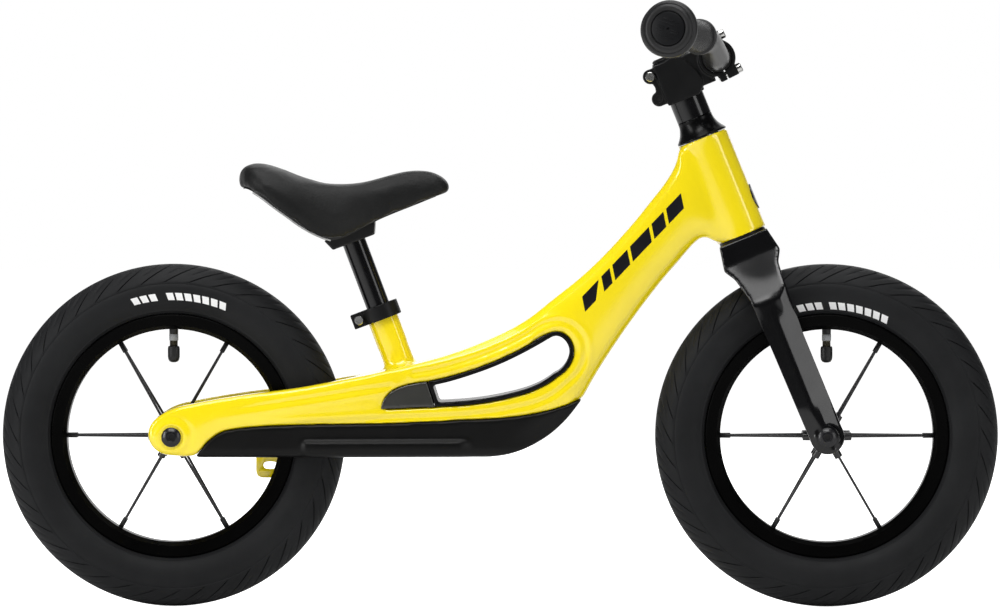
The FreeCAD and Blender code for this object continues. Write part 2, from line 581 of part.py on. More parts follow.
# ---------------------------------------------------------------- fork
def fork():
    """The fork: crown and two bladed legs with a ridge along each."""
    x, z = FORK_OFFSET, -FORK_LENGTH
    end = 15.0
    top = -CROWN_GAP
    front_points = [V(x + end, 0, z + 3), V(x + 14.4, 0, z + 92), V(19.8, 0, top - 43), V(21.0, 0, top - 31),
                    V(26.8, 0, top - 21), V(HEAD_TUBE_RADIUS - 0.3, 0, top)]
    back_points = [V(-HEAD_TUBE_RADIUS + 0.3, 0, top), V(-26.5, 0, top - 22), V(-20.4, 0, top - 32),
                   V(-15.4, 0, top - 53), V(x - 16.6, 0, z + 92), V(x - end, 0, z + 3)]
    points = front_points + back_points
    edges = [line(a, b) for a, b in zip(points, points[1:])]
    edges.append(arc(points[-1], V(x, 0, z - end), points[0]))
    side = through(face(edges))
    outer = STAY_OUTER
    tyre_top = z + TYRE_RADIUS
    arch = TYRE_WIDTH / 2 + TYRE_CLEARANCE
    arch_z = tyre_top - TYRE_WIDTH / 2
    half = [V(0, HEAD_TUBE_RADIUS, top), V(0, HEAD_TUBE_RADIUS + 3.5, top - 18), V(0, outer - 3, arch_z + 4),
            V(0, outer, z), V(0, outer, z - 30)]
    other = [V(0, -p.y, p.z) for p in reversed(half)]
    front = polygon(half + other).translated(V(-60, 0, 0)).extrude(V(120, 0, 0))
    gap_edges = [line(V(0, HUB_FACE, z - 40), V(0, HUB_FACE, z + 25)),
                 line(V(0, HUB_FACE, z + 25), V(0, arch, arch_z)),
                 arc(V(0, arch, arch_z), V(0, 0, arch_z + arch), V(0, -arch, arch_z)),
                 line(V(0, -arch, arch_z), V(0, -HUB_FACE, z + 25)),
                 line(V(0, -HUB_FACE, z + 25), V(0, -HUB_FACE, z - 40)),
                 line(V(0, -HUB_FACE, z - 40), V(0, HUB_FACE, z - 40))]
    gap = face(gap_edges).translated(V(-60, 0, 0)).extrude(V(120, 0, 0))
    ridge = outer + 0.5
    plan_half = [V(-30, ridge - 8.5, 0), V(x, ridge, 0), V(30, ridge - 13.5, 0)]
    plan_other = [V(p.x, -p.y, 0) for p in reversed(plan_half)]
    plan = polygon(plan_half + plan_other).translated(V(0, 0, -300)).extrude(V(0, 0, 400))
    body = side.common(front).cut(gap).common(plan)
    pads = rod(11.0, -outer + 0.6, outer - 0.6, "Y").translated(V(x, 0, z)).cut(gap)
    body = fuse([body] + pads.Solids)
    body = body.cut(rod(STEERER_RADIUS + SNUG, -CROWN_GAP - CROWN_DEPTH + 4, 10, "Z"))
    return body.cut(rod(AXLE_BOLT_RADIUS + SNUG, -90, 90, "Y").translated(V(x, 0, z)))


# ---------------------------------------------------------------- handlebar
BAR = HEAD.multVec(V(BAR_X, 0, BAR_Z))
GRIP_ROOT = BAR_HALF_WIDTH - GRIP_LENGTH
RISE_START = V(0, 38.0, 0)
RISE_END = V(-9.0, 88.0, 16.5)
BAR_END = V(-43.6, BAR_HALF_WIDTH, 25.3)
BEND_RADIUS = 55.0
BAR_WALL = 2.0
FLANGE_RADIUS_GRIP = 25.0
FLANGE_THICKNESS = 9.0


def bend(before, corner, after, radius):
    """The two tangent points and the middle of a round bend at a corner."""
    a = (before - corner).normalize()
    b = (after - corner).normalize()
    half = a.getAngle(b) / 2
    reach = radius / math.tan(half)
    inward = (a + b).normalize()
    centre = corner + inward * (radius / math.sin(half))
    return corner + a * reach, centre - inward * radius, corner + b * reach


def bar_path(end):
    """Half of the bar's centre line, from the clamp to a point towards the grip."""
    start = V(0, 0, 0)
    one = bend(start, RISE_START, RISE_END, BEND_RADIUS)
    two = bend(RISE_START, RISE_END, end, BEND_RADIUS)
    return Part.Wire([line(start, one[0]), arc(*one), line(one[2], two[0]), arc(*two), line(two[2], end)])


def handlebar():
    """The bent bar with its thicker middle."""
    path = bar_path(BAR_END)
    halves = []
    for radius in (BAR_RADIUS, BAR_RADIUS - BAR_WALL):
        ring = Part.Wire(Part.makeCircle(radius, V(0, 0, 0), V(0, 1, 0)))
        half = path.makePipeShell([ring], True, True)
        halves.append(fuse([half, mirrored(half)]))
    bulge = turned([(0, -46), (BAR_RADIUS, -46), (BAR_CLAMP_RADIUS, -30), (BAR_CLAMP_RADIUS, 30),
                    (BAR_RADIUS, 46),
                    (0, 46)], "Y")
    bulge = bulge.common(box(-30, 30, -27, 27, -30, 30))
    bar = fuse([halves[0], bulge]).cut(halves[1])
    return bar.translated(BAR)


def grip_frame():
    """A frame at the bar's left end, with +Z outwards along the bar."""
    outward = (BAR_END - RISE_END).normalize()
    return FreeCAD.Placement(BAR + BAR_END, FreeCAD.Rotation(V(0, 0, 1), outward))


def grip():
    """The left grip, with its end flange and inner ring."""
    bore = BAR_RADIUS + SNUG
    inner_end = -GRIP_LENGTH
    ribs = [(bore, inner_end), (GRIP_RADIUS + 1.0, inner_end), (GRIP_RADIUS + 1.0, inner_end + 4)]
    ribs += [(GRIP_RADIUS, inner_end + 5), (GRIP_RADIUS, -14),
             (FLANGE_RADIUS_GRIP - 3, -FLANGE_THICKNESS + 1)]
    ribs += [(FLANGE_RADIUS_GRIP, -FLANGE_THICKNESS + 3.5), (FLANGE_RADIUS_GRIP, -1),
             (FLANGE_RADIUS_GRIP - 4, 3.0)]
    ribs += [(FLANGE_RADIUS_GRIP - 8, 3.0), (FLANGE_RADIUS_GRIP - 8, 1.0), (0, 1.0), (0, 0.3), (bore, 0.3)]
    return placed(turned(ribs), grip_frame())


def grip_end_cap():
    """The recessed disc in the grip's end, with its small centre hole."""
    return placed(sleeve(FLANGE_RADIUS_GRIP - 8 - SNUG, 1.2, 1.0, 2.4, "Z"), grip_frame())


# ---------------------------------------------------------------- wheels
RIM_EDGE = BEAD_SEAT_RADIUS + RIM_FLANGE_HEIGHT
SECTION = TYRE_WIDTH / 2
SECTION_CENTRE = TYRE_RADIUS - SECTION
FLANGE_INSIDE = RIM_HALF_WIDTH - 2.2
WELL_RADIUS = RIM_INNER_RADIUS + 3.5
SPOKE_HEAD = V(16.0, FLANGE_OFFSET, 0)
SPOKE_TIP = V(RIM_INNER_RADIUS + 2.8, 3.0, 0)


def wheel_place(shape, x):
    """A wheel part made about the origin, moved to its axle."""
    return shape.translated(V(x, 0, AXLE_Z))


def tyre():
    """The tyre: a round carcass with its two beads."""
    inner = SECTION - TYRE_WALL
    inner_centre = TYRE_RADIUS - TYRE_WALL - TREAD_EXTRA - inner
    bead = FLANGE_INSIDE - SNUG
    start_r = RIM_EDGE + 0.4
    inner_r = start_r + 4.0
    outer_y = math.sqrt(SECTION ** 2 - (start_r - SECTION_CENTRE) ** 2)
    inner_y = math.sqrt(inner ** 2 - (inner_r - inner_centre) ** 2)
    foot = BEAD_SEAT_RADIUS + SNUG
    half = [V(start_r, outer_y, 0), V(start_r, bead, 0), V(foot, bead, 0), V(foot, bead - BEAD_WIDTH, 0),
            V(inner_r, inner_y, 0)]
    other = [V(p.x, -p.y, 0) for p in half]
    edges = [arc(other[0], V(TYRE_RADIUS, 0, 0), half[0])]
    edges += [line(a, b) for a, b in zip(half, half[1:])]
    edges.append(arc(half[-1], V(inner_centre + inner, 0, 0), other[-1]))
    edges += [line(b, a) for a, b in reversed(list(zip(other, other[1:])))]
    return face(edges).revolve(V(), V(0, 1, 0), 360)


def inner_tube():
    """The air tube inside the tyre, open where the valve goes in."""
    radius = SECTION - TYRE_WALL - 0.4
    centre = TYRE_RADIUS - TYRE_WALL - TREAD_EXTRA - 0.4 - radius
    outer = Part.makeTorus(centre, radius, V(), V(0, 1, 0))
    inner = Part.makeTorus(centre, radius - 1.2, V(), V(0, 1, 0))
    tube = outer.cut(inner)
    return tube.cut(rod(VALVE_RADIUS + SNUG, BEAD_SEAT_RADIUS - 10, centre, "Z"))


def rim():
    """The rim, with its bead seats, well, spoke holes and valve hole."""
    w = RIM_HALF_WIDTH
    half = [(RIM_INNER_RADIUS, w - 6.5), (RIM_INNER_RADIUS + 3.5, w - 0.6), (RIM_EDGE - 1.5, w),
            (RIM_EDGE, w - 1.0), (RIM_EDGE, FLANGE_INSIDE), (BEAD_SEAT_RADIUS, FLANGE_INSIDE),
            (BEAD_SEAT_RADIUS, 10), (WELL_RADIUS, 8)]
    section = half + [(r, -y) for r, y in reversed(half)]
    shape = turned(section, "Y")
    for hole in spoke_set(NIPPLE_RADIUS + SNUG, nipple_points):
        shape = shape.cut(hole)
    return shape.cut(rod(VALVE_RADIUS + SNUG, RIM_INNER_RADIUS - 10, RIM_EDGE, "Z"))


def rim_tape():
    """The tape over the nipples, with the valve's hole."""
    tape = sleeve(WELL_RADIUS + 1.0, WELL_RADIUS + SNUG, -7.6, 7.6, "Y")
    return tape.cut(rod(VALVE_RADIUS + SNUG, 50, RIM_EDGE, "Z"))


def spoke_points():
    """Where a spoke starts in the hub and ends in its nipple."""
    along = (SPOKE_TIP - SPOKE_HEAD).normalize()
    return SPOKE_HEAD, SPOKE_TIP - along * 4.0


def nipple_points():
    """Where a nipple starts inside the rim's well and ends towards the hub."""
    along = (SPOKE_TIP - SPOKE_HEAD).normalize()
    return SPOKE_TIP, SPOKE_TIP - along * NIPPLE_LENGTH


def spoke_set(radius, points):
    """A rod for every spoke position, half of them on each flange."""
    start, end = points()
    one = Part.makeCylinder(radius, (end - start).Length, start, end - start)
    rods = []
    for k in range(SPOKES // 2):
        turn = 360.0 / (SPOKES // 2) * k
        rods.append(one.rotated(V(), V(0, 1, 0), turn))
        rods.append(mirrored(one).rotated(V(), V(0, 1, 0), turn))
    return rods


def spokes():
    """The spokes, each with a round head in the hub's ear."""
    heads = spoke_set(SPOKE_RADIUS + 0.9, lambda: (SPOKE_HEAD, SPOKE_HEAD + V(2.0, -0.47, 0)))
    return [fuse([stem, cap]) for stem, cap in zip(spoke_set(SPOKE_RADIUS, spoke_points), heads)]


def nipples():
    """The nipples, hollow for the spoke's end."""
    outer = spoke_set(NIPPLE_RADIUS, nipple_points)
    inner = spoke_set(SPOKE_RADIUS + SNUG, spoke_points)
    return [body.cut(bore) for body, bore in zip(outer, inner)]


def hub_shell():
    """The hub: a waisted barrel with an ear for every spoke."""
    half = [(BEARING_RADIUS + 2.5, HUB_END), (BEARING_RADIUS + 2.5, FLANGE_OFFSET + 3.2),
            (FLANGE_RADIUS, FLANGE_OFFSET + 2.5),
            (FLANGE_RADIUS, FLANGE_OFFSET - 2.5), (11.0, FLANGE_OFFSET - 6.0)]
    section = [(0, HUB_END)] + half + [(r, -y) for r, y in reversed(half)] + [(0, -HUB_END)]
    body = turned(section, "Y")
    along = (SPOKE_TIP - SPOKE_HEAD).normalize()
    ears = spoke_set(EAR_RADIUS,
                     lambda: (SPOKE_HEAD - along * 4.0, SPOKE_HEAD + along * (EAR_REACH - SPOKE_HEAD.x)))
    body = fuse([body] + ears)
    body = body.cut(rod(8.0, -40, 40, "Y"))
    for side in (-1, 1):
        seat = sorted((side * (HUB_END + 1), side * (HUB_END - 0.5 - BEARING_WIDTH)))
        body = body.cut(rod(BEARING_RADIUS + SNUG, seat[0], seat[1], "Y"))
    for hole in spoke_set(SPOKE_RADIUS + SNUG, spoke_points):
        body = body.cut(hole)
    for hole in spoke_set(SPOKE_RADIUS + 0.9 + SNUG,
                          lambda: (SPOKE_HEAD - along * 0.05, SPOKE_HEAD + V(2.0, -0.47, 0))):
        body = body.cut(hole)
    return body


def hub_bearings():
    """The two sealed bearings in the hub."""
    start = HUB_END - 0.5 - BEARING_WIDTH
    one = sleeve(BEARING_RADIUS, AXLE_RADIUS + RUNNING, start, start + BEARING_WIDTH, "Y")
    return [one, mirrored(one)]


def valve():
    """The valve's stem with its rubber root and clamp nut."""
    root = RIM_INNER_RADIUS
    stem = rod(VALVE_RADIUS, root - VALVE_LENGTH + 6, BEAD_SEAT_RADIUS + 2.0, "Z")
    foot = rod(VALVE_RADIUS + 0.6, root - 6.5, root - 0.3, "Z")
    nut = rod(VALVE_RADIUS + 0.35, root - 11.5, root - 6.5, "Z")
    neck = rod(VALVE_RADIUS - 0.9, root - VALVE_LENGTH + 2.5, root - VALVE_LENGTH + 7, "Z")
    return fuse([stem, foot, nut, neck])


def valve_cap():
    """The dust cap on the valve."""
    root = RIM_INNER_RADIUS
    low = root - VALVE_LENGTH
    high = root - VALVE_LENGTH + 13.0
    cap = turned([(0, low), (VALVE_CAP_RADIUS - 1.6, low), (VALVE_CAP_RADIUS, low + 1.8),
                  (VALVE_CAP_RADIUS, high - 3),
                  (VALVE_RADIUS + 0.6, high), (0, high)])
    cap = cap.cut(rod(VALVE_RADIUS + SNUG, low + 5.9, high + 1, "Z"))
    return cap.cut(rod(VALVE_RADIUS - 0.9 + SNUG, low + 2.4, high, "Z"))


def axle():
    """The axle, tapped at both ends."""
    shaft = rod(AXLE_RADIUS, -HUB_FACE, HUB_FACE, "Y")
    for side in (-1, 1):
        ends = sorted((side * (HUB_FACE - 20), side * (HUB_FACE + 1)))
        shaft = shaft.cut(rod(AXLE_BOLT_RADIUS + SNUG, ends[0], ends[1], "Y"))
    return shaft


def axle_spacers():
    """The end caps between each bearing and the frame or fork."""
    one = turned([(AXLE_RADIUS + SNUG, HUB_END + 0.1), (7.5, HUB_END + 0.1), (10.0, HUB_FACE - 2.5),
                  (10.0, HUB_FACE),
                  (AXLE_RADIUS + SNUG, HUB_FACE)], "Y")
    return [one, mirrored(one)]


def axle_bolt():
    """One wide-headed axle bolt, on the left side."""
    head_disc = rod(BOLT_HEAD_RADIUS, 0, BOLT_HEAD_HEIGHT, "Z")
    top_edges = [e for e in head_disc.Edges if e.BoundBox.ZMin > BOLT_HEAD_HEIGHT - 0.01]
    head_disc = head_disc.makeFillet(1.2, top_edges)
    body = head_disc.fuse(rod(AXLE_BOLT_RADIUS, -STAY_WIDTH - 16, 0, "Z")).removeSplitter()
    body = body.cut(hexagon(HEX_SOCKET, V(0, 0, BOLT_HEAD_HEIGHT - 3.2), "Z", 5))
    return screw_at(body, V(0, STAY_OUTER, 0), V(0, 1, 0))


def save_wheel(name, x):
    """Write the pieces of one wheel and its axle."""
    groups = {"tyre": [tyre()], "inner_tube": [inner_tube()], "rim": [rim()], "rim_tape": [rim_tape()],
              "hub_shell": [hub_shell()], "hub_bearings": hub_bearings(), "spokes": spokes(),
              "spoke_nipples": nipples(), "valve": [valve()], "valve_cap": [valve_cap()], "axle": [axle()],
              "axle_spacers": axle_spacers(), "axle_bolts": [axle_bolt(), mirrored(axle_bolt())]}
    for piece, solids in groups.items():
        save(name + "_" + piece, *[wheel_place(solid, x) for solid in solids])


# ---------------------------------------------------------------- seatpost, collar and saddle
BRACKET_BOTTOM = COLLAR_HEIGHT + SEATPOST_EXPOSED + 1.0
BRACKET_TOP = BRACKET_BOTTOM + BRACKET_HEIGHT
BRACKET_HALF_LENGTH = 19.5
BRACKET_HALF_WIDTH = 16.0
BRACKET_FLARE = 1.24         # top's length over the bottom's
COLLAR_RADIUS = SEAT_TUBE_RADIUS + COLLAR_WALL
CLAMP_BOLT_X = -SEAT_TUBE_RADIUS - 6.4
PAD_SIDE = 8.0
PAD_TOP = 17.0
BASE_WALL = 3.0
SADDLE = SEAT.multVec(V(0, 0, BRACKET_TOP))


def seatpost():
    """The post, from inside the seat tube to the bracket."""
    low = COLLAR_HEIGHT + 1.4 - SEATPOST_INSERTED
    return sleeve(SEATPOST_RADIUS, SEATPOST_RADIUS - 2.0, low, BRACKET_TOP - 3.0, "Z")


def collar():
    """The split clamp round the seat tube's top."""
    ring = sleeve(COLLAR_RADIUS, SEAT_TUBE_RADIUS + SNUG, 1.2, COLLAR_HEIGHT, "Z")
    lip = sleeve(COLLAR_RADIUS, SEATPOST_RADIUS + BODY_GAP, COLLAR_HEIGHT, COLLAR_HEIGHT + 1.4, "Z")
    ears = box(-SEAT_TUBE_RADIUS - 12.3, -SEAT_TUBE_RADIUS - 1, -7.5, 7.5, 1.2, COLLAR_HEIGHT + 1.4)
    ears = ears.cut(rod(SEAT_TUBE_RADIUS + SNUG, 0, 30, "Z"))
    body = fuse([ring, lip, ears]).cut(box(-40, -5, -1.0, 1.0, 0, 30))
    return body.cut(rod(2.5 + SNUG, -30, 30, "Y").translated(V(CLAMP_BOLT_X, 0, 7.8)))


def collar_bolt():
    """The pinch bolt of the collar."""
    return screw_at(screw(2.5, 4.2, 3.6, 15.0, 4.0), V(CLAMP_BOLT_X, -7.5, 7.8), V(0, -1, 0))


def bracket():
    """The saddle bracket on the post's top."""
    low = polygon([V(-BRACKET_HALF_LENGTH, -BRACKET_HALF_WIDTH, BRACKET_BOTTOM),
                   V(BRACKET_HALF_LENGTH, -BRACKET_HALF_WIDTH, BRACKET_BOTTOM),
                   V(BRACKET_HALF_LENGTH, BRACKET_HALF_WIDTH, BRACKET_BOTTOM),
                   V(-BRACKET_HALF_LENGTH, BRACKET_HALF_WIDTH, BRACKET_BOTTOM)])
    rise = V(0, 0, BRACKET_HEIGHT)
    high = [V(p.Point.x * BRACKET_FLARE, p.Point.y, p.Point.z) + rise for p in low.OuterWire.OrderedVertexes]
    block = Part.makeLoft([low.OuterWire, Part.makePolygon(high + [high[0]])], True, True)
    block = block.cut(rod(SEATPOST_RADIUS + RUNNING, BRACKET_BOTTOM - 1, BRACKET_TOP - 3.0 + BODY_GAP, "Z"))
    for x, y in SADDLE_BOLTS:
        block = block.cut(rod(2.5 + SNUG, 0, 200, "Z").translated(V(x, y, 0)))
        block = block.cut(rod(4.5, 0, BRACKET_BOTTOM + 3.6, "Z").translated(V(x, y, 0)))
    return block


SADDLE_BOLTS = [(sx * 14.2, sy * 10.5) for sx in (-1, 1) for sy in (-1, 1)]

# stations along the saddle, from the bracket's top: forward, low edge, crown height, share of the width
SADDLE_STATIONS = [(-98.0, 42.0, 50.0, 0.30), (-93.0, 37.5, 56.5, 0.68), (-84.0, 35.0, 59.5, 0.90),
                   (-66.0, 22.0, 55.5, 1.00), (-42.0, 4.5, 45.5, 0.96), (-18.0, -7.5, 41.0, 0.80),
                   (8.0, 1.0, 42.2, 0.60), (36.0, 14.5, 49.2, 0.45), (60.0, 24.0, 53.4, 0.38),
                   (76.0, 30.5, 50.0, 0.33), (86.0, 34.5, 41.0, 0.20)]


def saddle_section(station, side_inset, top_inset, drop):
    """One cross-section of the saddle: a crowned top, full sides and a straight lower edge."""
    dx, low, high, share = station
    half = max(SADDLE_HALF_WIDTH * share - side_inset, 1.5)
    bottom = SADDLE.z + low
    top = SADDLE.z + max(high - top_inset, low + 2.0)
    x = SADDLE.x + dx
    height = top - bottom
    right = V(x, half, bottom)
    left = V(x, -half, bottom)
    foot_right = V(x, half, bottom - drop)
    foot_left = V(x, -half, bottom - drop)
    crown = [right, V(x, half * 0.97, bottom + height * 0.62), V(x, half * 0.70, bottom + height * 0.92),
             V(x, 0, top), V(x, -half * 0.70, bottom + height * 0.92),
             V(x, -half * 0.97, bottom + height * 0.62), left]
    if not drop:
        return Part.Wire([spline(crown), line(left, right)])
    return Part.Wire([spline(crown), line(left, foot_left), line(foot_left, foot_right),
                      line(foot_right, right)])


def saddle_loft(side_inset, top_inset, drop):
    """The saddle's volume, shrunk at the sides and the top, and extended below."""
    first = 1 if side_inset else 0
    stations = SADDLE_STATIONS[first:len(SADDLE_STATIONS) - first]
    return Part.makeLoft([saddle_section(s, side_inset, top_inset, drop) for s in stations], True, False)


def saddle_padding():
    """The padded cover: the saddle's outside without the base's room."""
    return saddle_loft(0, 0, 0).cut(saddle_loft(PAD_SIDE, PAD_TOP, 6.0))


def saddle_base():
    """The plastic base under the padding, with a pedestal down to the bracket."""
    side = PAD_SIDE + 0.3
    top = PAD_TOP + 0.3
    shell = saddle_loft(side, top, 0).cut(saddle_loft(side + BASE_WALL, top + BASE_WALL, 6.0))
    pedestal = placed(box(-18.5, 18.5, -15.0, 15.0, BRACKET_TOP, BRACKET_TOP + 60), SEAT)
    pedestal = pedestal.common(saddle_loft(side, top, 60))
    shell = fuse([shell, pedestal])
    for x, y in SADDLE_BOLTS:
        shell = shell.cut(placed(rod(2.5 + SNUG, 0, BRACKET_TOP + 14, "Z").translated(V(x, y, 0)), SEAT))
    return shell


def saddle_bolts():
    """The bolts from the bracket up into the base."""
    one = screw(2.5, 4.2, 3.0, BRACKET_HEIGHT - 3.6 + 12, 4.0)
    return [placed(screw_at(one, V(x, y, BRACKET_BOTTOM + 3.6), V(0, 0, -1)), SEAT) for x, y in SADDLE_BOLTS]


def head_badge():
    """A plain oval badge on the head tube's front."""
    plate = sleeve(HEAD_TUBE_RADIUS + 0.9, HEAD_TUBE_RADIUS, 0, HEAD_TUBE_LENGTH, "Z")
    cutter = rod(1.0, 0, 60, "X")
    oval = FreeCAD.Matrix()
    oval.scale(1, 8.5, 11.5)
    cutter = cutter.transformGeometry(oval).translated(V(0, 0, HEAD_TUBE_LENGTH * 0.30))
    return plate.common(cutter)


# ---------------------------------------------------------------- write the pieces
os.makedirs("parts", exist_ok=True)
save("frame", frame())
save("belly_guard", belly_guard())
save("guard_screws", *guard_screws())
save("slot_liner", slot_liner())
save("slot_insert", *slot_insert())
save("head_badge", placed(head_badge(), HEAD))
save("lower_headset_bearing", placed(headset_bearing(0), HEAD))
save("upper_headset_bearing", placed(headset_bearing(HEAD_TUBE_LENGTH - HEADSET_BEARING_HEIGHT), HEAD))
save("seat_clamp_collar", placed(collar(), SEAT))
save("seat_clamp_bolt", placed(collar_bolt(), SEAT))

save("fork", placed(fork(), HEAD))
save("steerer_tube", placed(steerer_tube(), HEAD))
save("crown_race", placed(crown_race(), HEAD))
save("compression_ring", placed(compression_ring(), HEAD))
save("headset_cover", placed(headset_cover(), HEAD))
save("spacer_lower",
     placed(sleeve(SPACER_RADIUS, STEERER_BORE, COVER_TOP, COVER_TOP + SPACER_HEIGHT, "Z"), HEAD))
save("spacer_upper",
     placed(sleeve(SPACER_RADIUS, STEERER_BORE, COVER_TOP + SPACER_HEIGHT, STEM_BOTTOM, "Z"), HEAD))
save("star_nut", placed(star_nut(), HEAD))
save("top_cap", placed(top_cap(), HEAD))
save("top_cap_bolt", placed(top_cap_bolt(), HEAD))
save("stem_body", placed(stem_body(), HEAD))
save("stem_faceplate", placed(stem_faceplate(), HEAD))
save("stem_clamp_bolts", *[placed(bolt, HEAD) for bolt in stem_clamp_bolts()])
save("faceplate_bolts", *[placed(bolt, HEAD) for bolt in faceplate_bolts()])

save("handlebar", handlebar())
save("grip_left", grip())
save("grip_right", mirrored(grip()))
save("grip_end_caps", grip_end_cap(), mirrored(grip_end_cap()))

save_wheel("front", FRONT_X)
save_wheel("rear", REAR_X)

save("seatpost", placed(seatpost(), SEAT))
save("saddle_bracket", placed(bracket(), SEAT))
save("saddle_base", saddle_base())
save("saddle_padding", saddle_padding())
save("saddle_bolts", *saddle_bolts())
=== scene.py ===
"""The finished look of a child's balance bike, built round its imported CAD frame.

Lengths are written in millimetres and turned into metres where a mesh is made. +X points forward, +Z up and
+Y to the rider's left; the origin is on the ground, midway between the axles. Driving places (wheel centres,
steering axis, seat tube axis, bar centre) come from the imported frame.
"""

import json
import logging
import math
from collections.abc import Callable, Sequence
from dataclasses import dataclass
from enum import Enum

import bmesh
import bpy
import numpy as np
from mathutils import Matrix, Vector
from mathutils.bvhtree import BVHTree
from mathutils.kdtree import KDTree

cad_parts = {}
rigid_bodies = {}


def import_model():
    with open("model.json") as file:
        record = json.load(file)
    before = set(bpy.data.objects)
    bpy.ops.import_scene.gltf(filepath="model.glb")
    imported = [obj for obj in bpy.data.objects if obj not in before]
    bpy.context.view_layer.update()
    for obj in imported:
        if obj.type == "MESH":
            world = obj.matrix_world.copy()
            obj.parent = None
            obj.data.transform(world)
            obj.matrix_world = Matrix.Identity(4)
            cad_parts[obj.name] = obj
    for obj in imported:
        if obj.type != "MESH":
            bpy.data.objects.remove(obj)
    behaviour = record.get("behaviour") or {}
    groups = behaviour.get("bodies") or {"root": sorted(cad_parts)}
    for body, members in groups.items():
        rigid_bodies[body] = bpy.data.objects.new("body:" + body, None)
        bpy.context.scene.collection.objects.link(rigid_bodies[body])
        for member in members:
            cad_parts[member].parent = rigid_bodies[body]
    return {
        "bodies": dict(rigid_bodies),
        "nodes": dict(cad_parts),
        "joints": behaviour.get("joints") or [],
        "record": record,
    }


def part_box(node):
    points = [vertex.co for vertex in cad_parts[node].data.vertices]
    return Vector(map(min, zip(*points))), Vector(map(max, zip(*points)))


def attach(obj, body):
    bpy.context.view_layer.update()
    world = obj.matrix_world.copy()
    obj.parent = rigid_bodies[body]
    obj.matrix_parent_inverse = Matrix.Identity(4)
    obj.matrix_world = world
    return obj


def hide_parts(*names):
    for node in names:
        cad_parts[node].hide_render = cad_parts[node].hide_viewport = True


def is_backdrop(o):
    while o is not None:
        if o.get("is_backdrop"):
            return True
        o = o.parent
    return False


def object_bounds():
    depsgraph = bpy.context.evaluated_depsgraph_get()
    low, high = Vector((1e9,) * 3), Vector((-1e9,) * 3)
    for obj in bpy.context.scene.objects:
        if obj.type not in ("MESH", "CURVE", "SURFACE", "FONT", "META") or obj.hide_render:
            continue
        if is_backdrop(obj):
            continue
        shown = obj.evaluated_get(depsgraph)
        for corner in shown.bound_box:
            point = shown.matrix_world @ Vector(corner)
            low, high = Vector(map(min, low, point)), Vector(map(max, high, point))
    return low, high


LOG = logging.getLogger("balance_bike")
MM = 0.001
MERGE = 1e-5
Colour = tuple[float, float, float]


# ---------------------------------------------------------------- finishes
class Grain(Enum):
    """The fine relief of a surface."""

    POLISHED = "polished"
    MOULDED = "moulded"
    LEATHER = "leather"
    RUBBER = "rubber"
    BRUSHED = "brushed"


@dataclass(frozen=True)
class Finish:
    """One surface finish: its colours, its gloss and its grain (grain sizes in millimetres)."""

    name: str
    colour: Colour
    mottle: Colour
    roughness: float
    grain: Grain = Grain.POLISHED
    grain_size: float = 6.0
    grain_depth: float = 0.02
    metallic: float = 0.0
    coat: float = 0.0
    coat_roughness: float = 0.03
    specular: float = 0.5
    sheen: float = 0.0
    roughness_spread: float = 0.04

    def build(self) -> bpy.types.Material:
        """Make the node material.

        Returns:
            The material, with its pattern on Object coordinates.
        """
        material = bpy.data.materials.new(self.name)
        material.use_nodes = True
        pen = NodePen(material.node_tree)
        shader = material.node_tree.nodes["Principled BSDF"]
        shader.inputs["Metallic"].default_value = self.metallic
        shader.inputs["Coat Weight"].default_value = self.coat
        shader.inputs["Coat Roughness"].default_value = self.coat_roughness
        shader.inputs["Specular IOR Level"].default_value = self.specular
        shader.inputs["Sheen Weight"].default_value = self.sheen
        cloud = pen.noise(22.0, 3.0)
        pen.link(pen.blend(cloud, self.mottle, self.colour), shader.inputs["Base Color"])
        low = max(self.roughness - self.roughness_spread, 0.02)
        high = min(self.roughness + self.roughness_spread, 1.0)
        pen.link(pen.spread(pen.noise(60.0, 4.0), low, high), shader.inputs["Roughness"])
        pen.link(self.relief(pen), shader.inputs["Normal"])
        return material

    def relief(self, pen: "NodePen") -> bpy.types.NodeSocket:
        """The bump of this finish's grain.

        Args:
            pen: the writer of this material's nodes.

        Returns:
            The normal to plug into the shader.
        """
        per_metre = 1.0 / (self.grain_size * MM)
        depth = self.grain_depth * MM
        if self.grain is Grain.LEATHER:
            cells = pen.cells(per_metre, 1.0)
            creases = pen.noise(per_metre * 0.35, 5.0)
            return pen.bump(pen.total(cells, creases), depth)
        if self.grain is Grain.MOULDED:
            return pen.bump(pen.noise(per_metre, 6.0), depth)
        if self.grain is Grain.RUBBER:
            pits = pen.cells(per_metre * 1.7, 0.9)
            return pen.bump(pen.total(pen.noise(per_metre, 5.0), pits), depth)
        if self.grain is Grain.BRUSHED:
            return pen.bump(pen.noise(per_metre, 2.0, stretch=(1.0, 14.0, 1.0)), depth)
        return pen.bump(pen.noise(per_metre, 1.5), depth)


